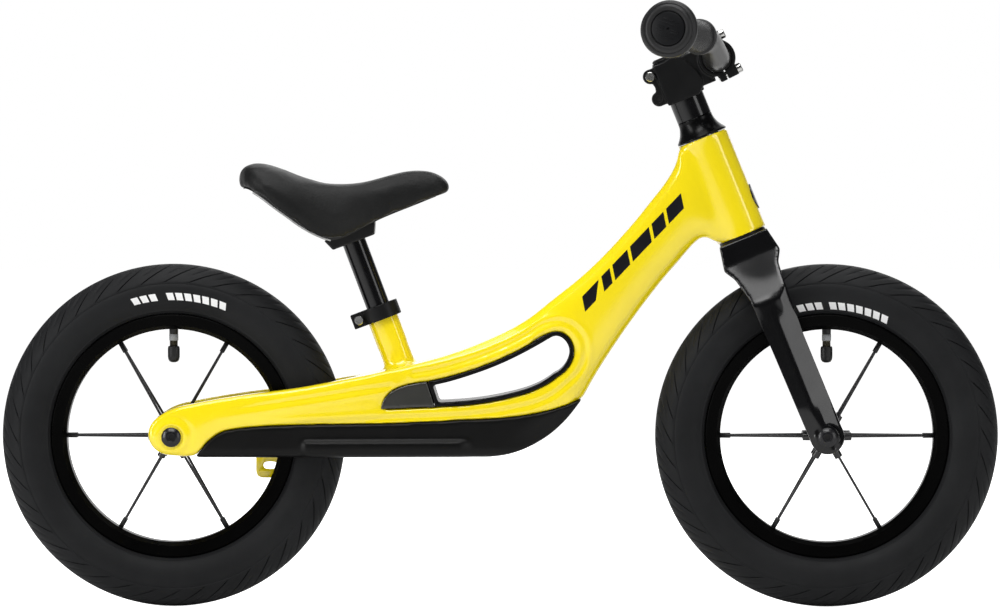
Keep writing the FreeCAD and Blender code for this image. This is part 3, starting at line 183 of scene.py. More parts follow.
class NodePen:
    """Adds nodes to one material, all on Object coordinates."""

    def __init__(self, tree: bpy.types.NodeTree) -> None:
        """Start on a node tree."""
        self.tree = tree
        self.place = tree.nodes.new("ShaderNodeTexCoord").outputs["Object"]

    def link(self, source: bpy.types.NodeSocket, target: bpy.types.NodeSocket) -> None:
        """Join two sockets."""
        self.tree.links.new(source, target)

    def mapped(self, stretch: tuple[float, float, float]) -> bpy.types.NodeSocket:
        """Object coordinates scaled by a different amount along each axis."""
        node = self.tree.nodes.new("ShaderNodeMapping")
        node.inputs["Scale"].default_value = stretch
        self.link(self.place, node.inputs["Vector"])
        return node.outputs["Vector"]

    def noise(
        self, scale: float, detail: float, stretch: tuple[float, float, float] = (1.0, 1.0, 1.0)
    ) -> bpy.types.NodeSocket:
        """A cloudy pattern.

        Args:
            scale: cycles to the metre.
            detail: how many finer layers it has.
            stretch: how much it is squeezed along each axis.

        Returns:
            The pattern, from 0 to 1.
        """
        node = self.tree.nodes.new("ShaderNodeTexNoise")
        node.inputs["Scale"].default_value = scale
        node.inputs["Detail"].default_value = detail
        self.link(self.mapped(stretch), node.inputs["Vector"])
        return node.outputs["Fac"]

    def cells(self, scale: float, randomness: float) -> bpy.types.NodeSocket:
        """A pattern of rounded cells.

        Args:
            scale: cells to the metre.
            randomness: how unevenly they lie, from 0 to 1.

        Returns:
            The distance from each cell's middle.
        """
        node = self.tree.nodes.new("ShaderNodeTexVoronoi")
        node.feature = "SMOOTH_F1"
        node.inputs["Scale"].default_value = scale
        node.inputs["Randomness"].default_value = randomness
        self.link(self.place, node.inputs["Vector"])
        return node.outputs["Distance"]

    def total(self, one: bpy.types.NodeSocket, other: bpy.types.NodeSocket) -> bpy.types.NodeSocket:
        """The sum of two patterns."""
        node = self.tree.nodes.new("ShaderNodeMath")
        node.operation = "ADD"
        self.link(one, node.inputs[0])
        self.link(other, node.inputs[1])
        return node.outputs[0]

    def spread(self, pattern: bpy.types.NodeSocket, low: float, high: float) -> bpy.types.NodeSocket:
        """A pattern mapped to a range of values.

        Args:
            pattern: the pattern, which lies mostly between 0.3 and 0.7.
            low: the value where it is low.
            high: the value where it is high.

        Returns:
            The mapped value.
        """
        node = self.tree.nodes.new("ShaderNodeMapRange")
        node.inputs["From Min"].default_value = 0.3
        node.inputs["From Max"].default_value = 0.7
        node.inputs["To Min"].default_value = low
        node.inputs["To Max"].default_value = high
        self.link(pattern, node.inputs["Value"])
        return node.outputs["Result"]

    def blend(self, pattern: bpy.types.NodeSocket, one: Colour, other: Colour) -> bpy.types.NodeSocket:
        """Two colours mixed by a pattern.

        Args:
            pattern: the pattern, which is cloudy and lies mostly between 0.35 and 0.65.
            one: the colour where it is low.
            other: the colour where it is high.

        Returns:
            The mixed colour.
        """
        node = self.tree.nodes.new("ShaderNodeValToRGB")
        node.color_ramp.elements[0].position = 0.35
        node.color_ramp.elements[0].color = (*one, 1.0)
        node.color_ramp.elements[1].position = 0.65
        node.color_ramp.elements[1].color = (*other, 1.0)
        self.link(pattern, node.inputs["Fac"])
        return node.outputs["Color"]

    def bump(self, height: bpy.types.NodeSocket, depth: float) -> bpy.types.NodeSocket:
        """A relief.

        Args:
            height: the pattern that stands out.
            depth: how far, in metres.

        Returns:
            The normal.
        """
        node = self.tree.nodes.new("ShaderNodeBump")
        node.inputs["Strength"].default_value = 1.0
        node.inputs["Distance"].default_value = depth
        self.link(height, node.inputs["Height"])
        return node.outputs["Normal"]


YELLOW_GLOSS = Finish("yellow_gloss", (0.93, 0.74, 0.0015), (0.91, 0.715, 0.001), 0.24, Grain.POLISHED,
    5.0, 0.012, coat=1.0, coat_roughness=0.05, roughness_spread=0.02)
BLACK_GRAPHIC = Finish("black_graphic", (0.004, 0.004, 0.006), (0.006, 0.006, 0.008), 0.32,
    Grain.POLISHED, 4.0, 0.01, coat=0.3, specular=0.3)
SATIN_BLACK = Finish("satin_black_plastic", (0.0016, 0.0016, 0.0016), (0.0026, 0.0026, 0.0025), 0.38,
    Grain.MOULDED, 0.9, 0.05, specular=0.17)
TRIM_BLACK = Finish("trim_black_plastic", (0.0012, 0.0012, 0.0014), (0.002, 0.002, 0.0022), 0.28,
    Grain.MOULDED, 0.8, 0.02, specular=0.14)
COVER_GREY = Finish("cover_grey_plastic", (0.026, 0.026, 0.023), (0.034, 0.034, 0.031), 0.24,
    Grain.POLISHED, 3.0, 0.01, coat=0.3, specular=0.35)
BLACK_GLOSS = Finish("black_gloss_paint", (0.0012, 0.0012, 0.0016), (0.0018, 0.0018, 0.0023), 0.22,
    Grain.POLISHED, 6.0, 0.01, coat=0.5, coat_roughness=0.10, specular=0.16)
BLACK_ALLOY = Finish("black_anodised_alloy", (0.0035, 0.0036, 0.0038), (0.0052, 0.0053, 0.0055), 0.40,
    Grain.MOULDED, 0.5, 0.02, specular=0.18)
BAR_BLACK = Finish("bar_black_paint", (0.007, 0.007, 0.0066), (0.009, 0.009, 0.0086), 0.36,
    Grain.POLISHED, 3.0, 0.01, specular=0.3, coat=0.2, coat_roughness=0.2, roughness_spread=0.01)
BRIGHT_STEEL = Finish("bright_steel", (0.62, 0.62, 0.60), (0.54, 0.54, 0.53), 0.20, Grain.BRUSHED, 1.2,
    0.01, metallic=1.0)
AXLE_BLACK = Finish("axle_bolt_black", (0.003, 0.003, 0.0045), (0.005, 0.005, 0.0065), 0.34,
    Grain.BRUSHED, 0.9, 0.01, specular=0.3, coat=0.25, coat_roughness=0.15)
DARK_STEEL = Finish("dark_steel", (0.018, 0.018, 0.019), (0.030, 0.030, 0.031), 0.34, Grain.BRUSHED, 0.9,
    0.01, metallic=0.5)
BEARING_STEEL = Finish("bearing_steel", (0.45, 0.45, 0.46), (0.38, 0.38, 0.39), 0.28, Grain.BRUSHED, 1.4,
    0.01, metallic=1.0)
GRIP_RUBBER = Finish("grip_rubber", (0.0075, 0.0075, 0.008), (0.0105, 0.0105, 0.011), 0.44, Grain.RUBBER,
    0.8, 0.02, specular=0.35)
GRIP_PLUG = Finish("grip_plug_plastic", (0.0025, 0.0027, 0.0033), (0.004, 0.0042, 0.005), 0.42,
    Grain.MOULDED, 0.7, 0.02, specular=0.16)
VINYL = Finish("saddle_vinyl", (0.0048, 0.005, 0.005), (0.0072, 0.0074, 0.0074), 0.50, Grain.LEATHER, 1.6,
    0.16, specular=0.2)
SADDLE_PLASTIC = Finish("saddle_plastic", (0.0055, 0.0055, 0.0055), (0.008, 0.008, 0.008), 0.36,
    Grain.MOULDED, 0.8, 0.04, specular=0.3)
TYRE_RUBBER = Finish("tyre_rubber", (0.0068, 0.0071, 0.0078), (0.010, 0.0104, 0.0112), 0.60, Grain.RUBBER,
    1.1, 0.05, specular=0.17)
TUBE_RUBBER = Finish("tube_rubber", (0.010, 0.010, 0.010), (0.014, 0.014, 0.014), 0.65, Grain.RUBBER, 1.5,
    0.03, specular=0.2)
WHITE_PRINT = Finish("white_print", (0.82, 0.82, 0.82), (0.76, 0.76, 0.76), 0.45, Grain.RUBBER, 1.0, 0.02)
RIM_BLACK = Finish("rim_black", (0.0004, 0.0004, 0.0004), (0.0007, 0.0007, 0.0007), 0.30, Grain.POLISHED,
    4.0, 0.01, specular=0.05)
RIM_STRIP = Finish("rim_strip", (0.02, 0.02, 0.02), (0.03, 0.03, 0.03), 0.6, Grain.MOULDED, 1.0, 0.03)
HUB_ALLOY = Finish("hub_black_alloy", (0.006, 0.006, 0.0065), (0.009, 0.009, 0.0095), 0.30, Grain.BRUSHED,
    1.0, 0.01, metallic=0.2, coat=0.3)
SPOKE_STEEL = Finish("spoke_black_steel", (0.020, 0.020, 0.021), (0.030, 0.030, 0.031), 0.30,
    Grain.BRUSHED, 0.8, 0.01, metallic=0.5)
NIPPLE_BLACK = Finish("nipple_black_alloy", (0.008, 0.008, 0.0085), (0.012, 0.012, 0.0125), 0.34,
    Grain.BRUSHED, 0.8, 0.01, metallic=0.3)
VALVE_STEM = Finish("valve_dark_brass", (0.050, 0.045, 0.032), (0.085, 0.075, 0.050), 0.33, Grain.BRUSHED,
    0.7, 0.01, metallic=0.7)
VALVE_BAND = Finish("valve_band_alloy", (0.30, 0.31, 0.32), (0.36, 0.37, 0.38), 0.45, Grain.BRUSHED, 0.8,
    0.01)
WELT_GREY = Finish("saddle_edge_grey", (0.30, 0.30, 0.30), (0.36, 0.36, 0.36), 0.40, Grain.MOULDED, 0.8,
    0.01)
CAP_PLASTIC = Finish("cap_black_plastic", (0.010, 0.010, 0.010), (0.014, 0.014, 0.014), 0.38,
    Grain.MOULDED, 0.6, 0.03, specular=0.3)
BADGE_METAL = Finish("badge_metal", (0.012, 0.012, 0.013), (0.018, 0.018, 0.019), 0.25, Grain.BRUSHED,
    0.8, 0.01, metallic=0.4, coat=0.4)
FLOOR_WHITE = Finish("floor_white", (0.93, 0.93, 0.93), (0.92, 0.92, 0.92), 0.7, Grain.MOULDED, 20.0,
    0.02, specular=0.1)

# the finish of each CAD node that shows, or would show with its neighbour taken off
NODE_FINISHES = {
    "frame": YELLOW_GLOSS, "belly_guard": SATIN_BLACK, "guard_screws": DARK_STEEL,
    "slot_liner": TRIM_BLACK, "slot_insert": COVER_GREY, "head_badge": BADGE_METAL,
    "lower_headset_bearing": DARK_STEEL, "upper_headset_bearing": BEARING_STEEL,
    "seat_clamp_collar": BLACK_ALLOY, "seat_clamp_bolt": BRIGHT_STEEL, "rear_axle": BEARING_STEEL,
    "rear_axle_spacers": HUB_ALLOY, "rear_axle_bolts": DARK_STEEL, "fork": BLACK_GLOSS,
    "steerer_tube": BEARING_STEEL, "crown_race": BLACK_ALLOY, "compression_ring": BEARING_STEEL,
    "headset_cover": TRIM_BLACK, "spacer_lower": BLACK_GLOSS, "spacer_upper": BLACK_GLOSS,
    "star_nut": BEARING_STEEL, "top_cap": BLACK_ALLOY, "top_cap_bolt": DARK_STEEL,
    "stem_body": BLACK_ALLOY, "stem_faceplate": BLACK_ALLOY, "stem_clamp_bolts": BRIGHT_STEEL,
    "faceplate_bolts": BRIGHT_STEEL, "front_axle": BEARING_STEEL, "front_axle_spacers": HUB_ALLOY,
    "front_axle_bolts": DARK_STEEL, "handlebar": BAR_BLACK, "grip_left": GRIP_RUBBER,
    "grip_right": GRIP_RUBBER, "grip_end_caps": GRIP_PLUG, "seatpost": BLACK_GLOSS,
    "saddle_bracket": SADDLE_PLASTIC, "saddle_base": SADDLE_PLASTIC, "saddle_padding": VINYL,
    "saddle_bolts": DARK_STEEL,
}
WHEEL_NODE_FINISHES = {
    "tyre": TYRE_RUBBER, "inner_tube": TUBE_RUBBER, "rim": RIM_BLACK, "rim_tape": RIM_STRIP,
    "hub_shell": HUB_ALLOY, "hub_bearings": BEARING_STEEL, "spokes": SPOKE_STEEL,
    "spoke_nipples": NIPPLE_BLACK, "valve": VALVE_STEM, "valve_cap": CAP_PLASTIC,
}


class Palette:
    """Builds each finish once and hands it out."""

    def __init__(self) -> None:
        """Start with no material made."""
        self.made: dict[str, bpy.types.Material] = {}

    def get(self, finish: Finish) -> bpy.types.Material:
        """The material of a finish, made on first use."""
        if finish.name not in self.made:
            self.made[finish.name] = finish.build()
        return self.made[finish.name]

    def dress(self, obj: bpy.types.Object, finish: Finish) -> None:
        """Give an object one finish in all its slots.

        Args:
            obj: the object.
            finish: the finish.
        """
        material = self.get(finish)
        if not obj.data.materials:
            obj.data.materials.append(material)
        for slot in obj.material_slots:
            slot.material = material


# ---------------------------------------------------------------- mesh tools
@dataclass(frozen=True)
class Knot:
    """A point of a drawn outline, in millimetres; a corner breaks the curve there."""

    x: float
    z: float
    corner: bool = False


def smooth(points: Sequence[tuple[float, float]]) -> list[Knot]:
    """Knots that a smooth curve runs through."""
    return [Knot(x, z) for x, z in points]


def corners(points: Sequence[tuple[float, float]]) -> list[Knot]:
    """Knots that the outline turns at sharply."""
    return [Knot(x, z, True) for x, z in points]


def detached(obj: bpy.types.Object) -> bpy.types.Mesh:
    """The evaluated mesh of an object, which is then removed.

    Args:
        obj: a linked object, with its modifiers.

    Returns:
        A new mesh with the modifiers applied.
    """
    graph = bpy.context.evaluated_depsgraph_get()
    mesh = bpy.data.meshes.new_from_object(obj.evaluated_get(graph))
    bpy.data.objects.remove(obj)
    return mesh


def temporary(mesh: bpy.types.Mesh) -> bpy.types.Object:
    """An object that holds a mesh only while a modifier works on it."""
    obj = bpy.data.objects.new("work", mesh)
    bpy.context.scene.collection.objects.link(obj)
    return obj


def drawn(
    loops: Sequence[Sequence[Knot]], half: float, fill: str = "BOTH", resolution: int = 8
) -> bpy.types.Mesh:
    """A flat outline drawn with bezier curves in its own XY plane, given thickness along Z.

    Args:
        loops: closed outlines; inner ones are holes.
        half: half the thickness, in millimetres.
        fill: BOTH for a solid block, NONE for the bare line.
        resolution: steps between two knots.

    Returns:
        The block or the line as a mesh, in metres.
    """
    curve = bpy.data.curves.new("outline", "CURVE")
    curve.dimensions = "2D" if fill == "BOTH" else "3D"
    if fill == "BOTH":
        curve.fill_mode = "BOTH"
    curve.extrude = half * MM
    curve.resolution_u = resolution
    for loop in loops:
        spline = curve.splines.new("BEZIER")
        spline.bezier_points.add(len(loop) - 1)
        for knot, point in zip(loop, spline.bezier_points):
            point.co = (knot.x * MM, knot.z * MM, 0.0)
            point.handle_left_type = "VECTOR" if knot.corner else "AUTO"
            point.handle_right_type = "VECTOR" if knot.corner else "AUTO"
        spline.use_cyclic_u = fill == "BOTH"
    return detached(temporary(curve))


UPRIGHT = Matrix.Rotation(math.radians(90.0), 4, "X")


def upright_block(loops: Sequence[Sequence[Knot]], half: float) -> bmesh.types.BMesh:
    """A side-view outline pushed out to both sides of the centre plane."""
    return as_bmesh(drawn(loops, half), UPRIGHT)


def as_bmesh(mesh: bpy.types.Mesh, matrix: Matrix | None = None) -> bmesh.types.BMesh:
    """A merged, outward-facing bmesh of a mesh.

    Args:
        mesh: the source, which is removed if nothing else uses it.
        matrix: a transform to apply.

    Returns:
        The bmesh.
    """
    bm = bmesh.new()
    bm.from_mesh(mesh)
    if mesh.users == 0:
        bpy.data.meshes.remove(mesh)
    if matrix is not None:
        bmesh.ops.transform(bm, matrix=matrix, verts=bm.verts)
    bmesh.ops.remove_doubles(bm, verts=bm.verts, dist=MERGE)
    bmesh.ops.recalc_face_normals(bm, faces=bm.faces)
    return bm


def as_mesh(bm: bmesh.types.BMesh, name: str = "work") -> bpy.types.Mesh:
    """A mesh from a bmesh.

    Args:
        bm: the bmesh; it is freed.
        name: the mesh's name.

    Returns:
        The mesh.
    """
    mesh = bpy.data.meshes.new(name)
    bm.to_mesh(mesh)
    bm.free()
    return mesh


def remeshed(bm: bmesh.types.BMesh, voxel: float) -> bmesh.types.BMesh:
    """The same solids as one even skin of squares.

    Args:
        bm: closed shapes, which may overlap; it is freed.
        voxel: the squares' size in millimetres.

    Returns:
        The skin.
    """
    obj = temporary(as_mesh(bm))
    modifier = obj.modifiers.new("skin", "REMESH")
    modifier.mode = "VOXEL"
    modifier.voxel_size = voxel * MM
    return as_bmesh(detached(obj))


def carved(bm: bmesh.types.BMesh, cutters: Sequence[bmesh.types.BMesh]) -> bmesh.types.BMesh:
    """A solid with others cut away from it.

    Args:
        bm: the solid; it is freed.
        cutters: what is cut away; they are freed too.

    Returns:
        What is left.
    """
    for cutter in cutters:
        obj = temporary(as_mesh(bm))
        tool = temporary(as_mesh(cutter))
        modifier = obj.modifiers.new("cut", "BOOLEAN")
        modifier.operation = "DIFFERENCE"
        modifier.solver = "EXACT"
        modifier.object = tool
        mesh = detached(obj)
        bpy.data.objects.remove(tool)
        bm = as_bmesh(mesh)
    return bm


def joined(first: bmesh.types.BMesh, others: Sequence[bmesh.types.BMesh]) -> bmesh.types.BMesh:
    """Several meshes in one.

    Args:
        first: receives the rest.
        others: the rest, which are freed.

    Returns:
        The first, with the rest added.
    """
    for other in others:
        mesh = as_mesh(other)
        first.from_mesh(mesh)
        bpy.data.meshes.remove(mesh)
    return first


def relax(bm: bmesh.types.BMesh, times: int, keep: Callable[[Vector], bool] | None = None) -> None:
    """Round a skin's edges by smoothing its points.

    Args:
        bm: the skin.
        times: how many passes.
        keep: says which points, in metres, stay where they are.
    """
    points = [v for v in bm.verts if keep is None or not keep(v.co)]
    for _ in range(times):
        bmesh.ops.smooth_vert(bm, verts=points, factor=0.5, use_axis_x=True, use_axis_y=True, use_axis_z=True)


def rod(radius: float, low: float, high: float, frame: Matrix, sides: int = 96) -> bmesh.types.BMesh:
    """A closed cylinder along a local frame's Z.

    Args:
        radius: in millimetres.
        low: where it starts along Z, in millimetres.
        high: where it ends.
        frame: the local frame, in metres.
        sides: steps round it.

    Returns:
        The cylinder.
    """
    bm = bmesh.new()
    middle = Matrix.Translation((0.0, 0.0, (low + high) / 2 * MM))
    bmesh.ops.create_cone(bm, cap_ends=True, segments=sides, radius1=radius * MM, radius2=radius * MM,
                          depth=(high - low) * MM, matrix=frame @ middle)
    return bm


def turned(profile: Sequence[tuple[float, float]], frame: Matrix, sides: int = 96) -> bmesh.types.BMesh:
    """A solid of revolution about a local frame's Z.

    Args:
        profile: (radius, height) points in millimetres, from one end to the other.
        frame: the local frame, in metres.
        sides: steps round the axis.

    Returns:
        The closed skin.
    """
    bm = bmesh.new()
    points = [bm.verts.new((radius * MM, 0.0, height * MM)) for radius, height in profile]
    for one, other in zip(points, points[1:]):
        bm.edges.new((one, other))
    bmesh.ops.spin(bm, geom=bm.verts[:] + bm.edges[:], cent=(0, 0, 0), axis=(0, 0, 1), dvec=(0, 0, 0),
                   angle=2 * math.pi, steps=sides, use_merge=True, use_normal_flip=False, use_duplicate=False)
    bmesh.ops.remove_doubles(bm, verts=bm.verts, dist=MERGE)
    bmesh.ops.holes_fill(bm, edges=bm.edges, sides=sides + 1)
    bmesh.ops.transform(bm, matrix=frame, verts=bm.verts)
    bmesh.ops.recalc_face_normals(bm, faces=bm.faces)
    return bm


def points_of(bm: bmesh.types.BMesh) -> np.ndarray:
    """The vertices' places in millimetres, one row each."""
    return np.array([v.co for v in bm.verts]) / MM


def put_points(bm: bmesh.types.BMesh, places: np.ndarray) -> None:
    """Move the vertices to places given in millimetres."""
    for vert, place in zip(bm.verts, places * MM):
        vert.co = place


def step(values: np.ndarray, start: float, end: float) -> np.ndarray:
    """A smooth rise from 0 at start to 1 at end."""
    share = np.clip((values - start) / (end - start), 0.0, 1.0)
    return share * share * (3 - 2 * share)


def ridge(away: np.ndarray, middle: float, height: float, width: float) -> np.ndarray:
    """A bell-shaped ridge, or with a negative height a groove.

    Args:
        away: distances from a line.
        middle: the distance at which the ridge is highest.
        height: how high it is there.
        width: how far from there it has fallen to about a third.

    Returns:
        The height at each distance.
    """
    return height * np.exp(-(((away - middle) / width) ** 2))


def smooth_table(places: Sequence[float], values: Sequence[float]) -> Callable[[np.ndarray], np.ndarray]:
    """A smooth function through a few values.

    Args:
        places: increasing positions.
        values: the value at each.

    Returns:
        A function of an array of positions.
    """
    x = np.array(places, float)
    y = np.array(values, float)
    slopes = np.gradient(y, x)

    def at(where: np.ndarray) -> np.ndarray:
        """The value at each position."""
        where = np.clip(where, x[0], x[-1])
        i = np.clip(np.searchsorted(x, where) - 1, 0, len(x) - 2)
        h = x[i + 1] - x[i]
        t = (where - x[i]) / h
        start = (1 + 2 * t) * (1 - t) ** 2 * y[i] + t * (1 - t) ** 2 * h * slopes[i]
        return start + t * t * (3 - 2 * t) * y[i + 1] + t * t * (t - 1) * h * slopes[i + 1]

    return at


def distance_to(line: bpy.types.Mesh, places: np.ndarray) -> np.ndarray:
    """How far side-view places are from a drawn line, in millimetres.

    Args:
        line: a line drawn in its own XY plane, in metres; it is removed.
        places: rows of x and z.

    Returns:
        One distance for each row.
    """
    tree = KDTree(len(line.vertices))
    for index, vert in enumerate(line.vertices):
        tree.insert((vert.co.x / MM, vert.co.y / MM, 0.0), index)
    tree.balance()
    bpy.data.meshes.remove(line)
    return np.array([tree.find((x, z, 0.0))[2] for x, z in places])


def local_frame(origin: Vector, up: Vector) -> Matrix:
    """A frame whose +X points forward in the centre plane.

    Args:
        origin: where it stands, in metres.
        up: its +Z.

    Returns:
        The frame.
    """
    z = up.normalized()
    y = Vector((0.0, 1.0, 0.0))
    x = y.cross(z).normalized()
    matrix = Matrix((x, z.cross(x), z)).transposed().to_4x4()
    matrix.translation = origin
    return matrix


# ---------------------------------------------------------------- the bike's places
BOLT_HEAD_HEIGHT = 4.5          # the CAD axle bolt's head
HEADSET_BEARING_HALF = 3.75     # half the lower bearing's height, which starts at the head tube's foot
POST_MIDDLE = 19.95             # the seatpost's middle above the seat tube's reference point


class Bike:
    """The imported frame, and the local frames that the pieces are built in."""

    def __init__(self) -> None:
        """Load the frame and read its places."""
        self.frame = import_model()
        self.cad_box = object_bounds()
        self.palette = Palette()
        joints = {joint["name"]: joint for joint in self.frame["joints"]}
        self.rear_axle = Vector(joints["rear_wheel_spin"]["pos_m"])
        self.front_axle = Vector(joints["front_wheel_spin"]["pos_m"])
        up = Vector(joints["steering_turn"]["axis"])
        fork_top = (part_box("lower_headset_bearing")[0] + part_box("lower_headset_bearing")[1]) / 2
        along = Vector(joints["steering_turn"]["pos_m"])
        foot = along + up * (fork_top - along).dot(up) - up * HEADSET_BEARING_HALF * MM
        self.head = local_frame(foot, up)
        self.bar_middle = Vector(joints["bar_tilt"]["pos_m"])
        post = Vector(joints["seatpost_slide"]["axis"])
        collar = (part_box("seatpost")[0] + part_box("seatpost")[1]) / 2
        self.seat = local_frame(collar - post * POST_MIDDLE * MM, post)

    def add(
        self,
        name: str,
        bm: bmesh.types.BMesh,
        finish: Finish,
        body: str,
        slot: str,
        nodes: Sequence[str] = (),
        sharp: float = 60.0,
    ) -> bpy.types.Object:
        """Put a finished piece on the bike.

        Args:
            name: the piece's name.
            bm: its mesh in the bike's frame, in metres; it is freed.
            finish: its surface.
            body: the CAD body that it rides on.
            slot: the record's material slot; not used.
            nodes: the CAD nodes that it stands for.
            sharp: edges steeper than this, in degrees, stay sharp.

        Returns:
            The piece.
        """
        for face in bm.faces:
            face.smooth = True
        for edge in bm.edges:
            edge.smooth = len(edge.link_faces) != 2 or edge.calc_face_angle(0.0) < math.radians(sharp)
        obj = bpy.data.objects.new(name, as_mesh(bm, name))
        bpy.context.scene.collection.objects.link(obj)
        self.palette.dress(obj, finish)
        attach(obj, body)
        if nodes:
            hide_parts(*nodes)
        LOG.info("%s: %d faces on %s", name, len(obj.data.polygons), body)
        return obj

    def copy_of(self, node: str) -> bmesh.types.BMesh:
        """A merged copy of a CAD node's mesh."""
        bm = bmesh.new()
        bm.from_mesh(self.frame["nodes"][node].data)
        bmesh.ops.remove_doubles(bm, verts=bm.verts, dist=MERGE)
        return bm

    def softened(
        self, node: str, name: str, voxel: float, times: int, finish: Finish, body: str, slot: str
    ) -> None:
        """Stand a copy of a CAD node in its place, with its edges rounded over.

        Args:
            node: the CAD node.
            name: the new piece's name.
            voxel: the skin's squares, in millimetres.
            times: smoothing passes; more of them round the edges further.
            finish: the surface.
            body: the body it rides on.
            slot: the record's material slot; not used.
        """
        bm = remeshed(self.copy_of(node), voxel)
        relax(bm, times)
        self.add(name, bm, finish, body, slot, [node])

    def dress_nodes(self) -> None:
        """Give every CAD node its finish."""
        for node, obj in self.frame["nodes"].items():
            finish = NODE_FINISHES.get(node)
            if finish is None:
                finish = WHEEL_NODE_FINISHES[node.split("_", 1)[1]]
            self.palette.dress(obj, finish)
        LOG.info("dressed %d CAD nodes", len(self.frame["nodes"]))


# ---------------------------------------------------------------- frame and guard
@dataclass
class FrameShell:
    """The yellow one-piece frame: beam, stays, head tube and seat tube, with its creases."""

    bike: Bike
    skin: float = 1.4
    head_tube_radius: float = 22.75
    head_tube_length: float = 92.8
    seat_tube_radius: float = 13.9
    seat_tube_depth: float = 84.0
    seat_tube_top: float = 12.0
    post_radius: float = 10.6
    bolt_recess_radius: float = 10.6
    bolt_radius: float = 3.1
    bolt_recess_face: float = 49.4
    headset_bore: float = 15.5
    half_block: float = 50.0
    block_skin: float = 2.4
    gap_half: float = 37.0
    gap_nose: float = 31.75
    gap_reach: float = 162.0
    fillet_middle: float = -44.0
    fillet_reach: float = 25.0
    all_passes: int = 5
    open_passes: int = 9
    fillet_passes: int = 26
    side_passes: int = 110
    line_steps: int = 48
    lug_thickness: float = 5.0
    lug_inner: float = 30.5
    decal_lift: float = 0.12
    decal_height: float = 13.5

    def __post_init__(self) -> None:
        """Work out the outlines from the axles and the local frames."""
        self.axle = self.bike.front_axle.z / MM
        self.rear_x = self.bike.rear_axle.x / MM
        self.half_width = smooth_table(
            [-318.5, -288.5, -238.5, -180.0, -120.0, -60.0, 0.0, 60.0, 120.0, 213.5, 243.5],
            [48.5, 50.0, 49.5, 47.0, 42.0, 35.5, 30.0, 26.5, 23.5, 21.5, 21.0],
        )

    def rear(self, dx: float, dz: float) -> tuple[float, float]:
        """A side-view point measured from the rear axle."""
        return (self.rear_x + dx, self.axle + dz)

    def mid(self, dx: float, dz: float) -> tuple[float, float]:
        """A side-view point measured from the bike's middle at axle height."""
        return (dx, self.axle + dz)

    def tube(self, forward: float, up: float) -> tuple[float, float]:
        """A side-view point measured along and across the head tube."""
        point = self.bike.head @ Vector((forward * MM, 0.0, up * MM))
        return (point.x / MM, point.z / MM)

    def top_line(self) -> list[tuple[float, float]]:
        """The stay's end and the beam's top edge, up to the head tube."""
        r, m, t = self.rear, self.mid, self.tube
        return [r(20.5, -17.0), r(4, -16.8), r(-10.5, -14.0), r(-18.5, -6.5), r(-21, 3.5), r(-17.5, 12.5),
                r(-10.5, 19.0), r(0.5, 25.0), r(18.5, 29.5), r(58.5, 36.5), r(111.5, 43.5), r(150, 50.5),
                m(-103, 57.5), m(-71, 65.0), m(-44, 72.5), m(-5, 87.5), m(22, 101.5), m(48, 121.5),
                m(78, 146.0), t(-89.5, 43.5), t(-65.0, 57.0), t(-39.3, 72.5), t(-30.0, 81.0), t(-23.5, 90.5)]

    def under_line(self) -> list[tuple[float, float]]:
        """The beam's lower edge, from the head tube down to the guard."""
        m, t = self.mid, self.tube
        return [t(-20.0, 1.0), t(-24.5, 4.0), t(-28.5, 9.2), t(-33.5, 11.4), t(-40.0, 9.8), t(-60.0, -0.2),
                t(-83.0, -12.2), m(114, 98.5), m(97, 73.5), m(85, 54.5), m(73, 33)]

    def belly_line(self) -> list[tuple[float, float]]:
        """The line where the frame sits on its guard, from front to back."""
        r, m = self.rear, self.mid
        return [m(73, 33), m(55, 26), m(35, 20.7), m(8, 16.6), m(-31, 14.5), m(-98, 11.7), r(85, 9.6),
                r(58, 7.2), r(44, 4.2), r(33.5, -3), r(24.5, -13), r(20.5, -17.0)]

    def slot_line(self) -> list[Knot]:
        """The long slot through the beam."""
        m = self.mid
        return corners([m(-105, 24)]) + smooth([
            m(-97, 38.5), m(-84, 45), m(-58, 49.5), m(-31, 56.5), m(-5, 65.8), m(22, 78.6), m(42, 90.0),
            m(56, 91.0), m(65, 79), m(63, 65), m(50, 52.0), m(35, 42.5), m(8, 33.8), m(-18, 29), m(-58, 26)])

    def outline(self) -> list[Knot]:
        """The frame body's whole side-view outline."""
        top, under, belly = self.top_line(), self.under_line(), self.belly_line()
        front = [top[-1], self.tube(0, 90.5), self.tube(0, 1.0), under[0]]
        return (corners(top[:1]) + smooth(top[1:-1]) + corners(front) + smooth(under[1:-1])
                + corners(belly[:1]) + smooth(belly[1:-1]))

    def ring_line(self) -> list[Knot]:
        """The crease round the slot, which runs on towards the rear axle below it."""
        m = self.mid
        return smooth([
            m(-75, 56.0), m(-58, 59.0), m(-31, 66.2), m(-5, 75.5), m(22, 88.5), m(42, 100.0), m(56, 101.0),
            m(70, 92.0), m(75.5, 78), m(73, 62), m(58, 45), m(40, 32.5), m(10, 24.0), m(-18, 19.6),
            m(-58, 17.2), m(-105, 15.6), m(-142, 13.4), m(-190, 10.8), m(-228, 7.0)])

    def stay_line(self) -> list[Knot]:
        """The crease along the stay, from the slot's covered end."""
        m = self.mid
        return smooth([m(-96, 44.5), m(-124, 41.0), m(-142, 38.0), m(-201, 29.0), m(-245, 21.5)])

    def away(self, line: list[Knot], places: np.ndarray) -> np.ndarray:
        """How far places are from a line, both in the side view."""
        return distance_to(drawn([line], 0.0, "NONE", self.line_steps), places[:, [0, 2]])

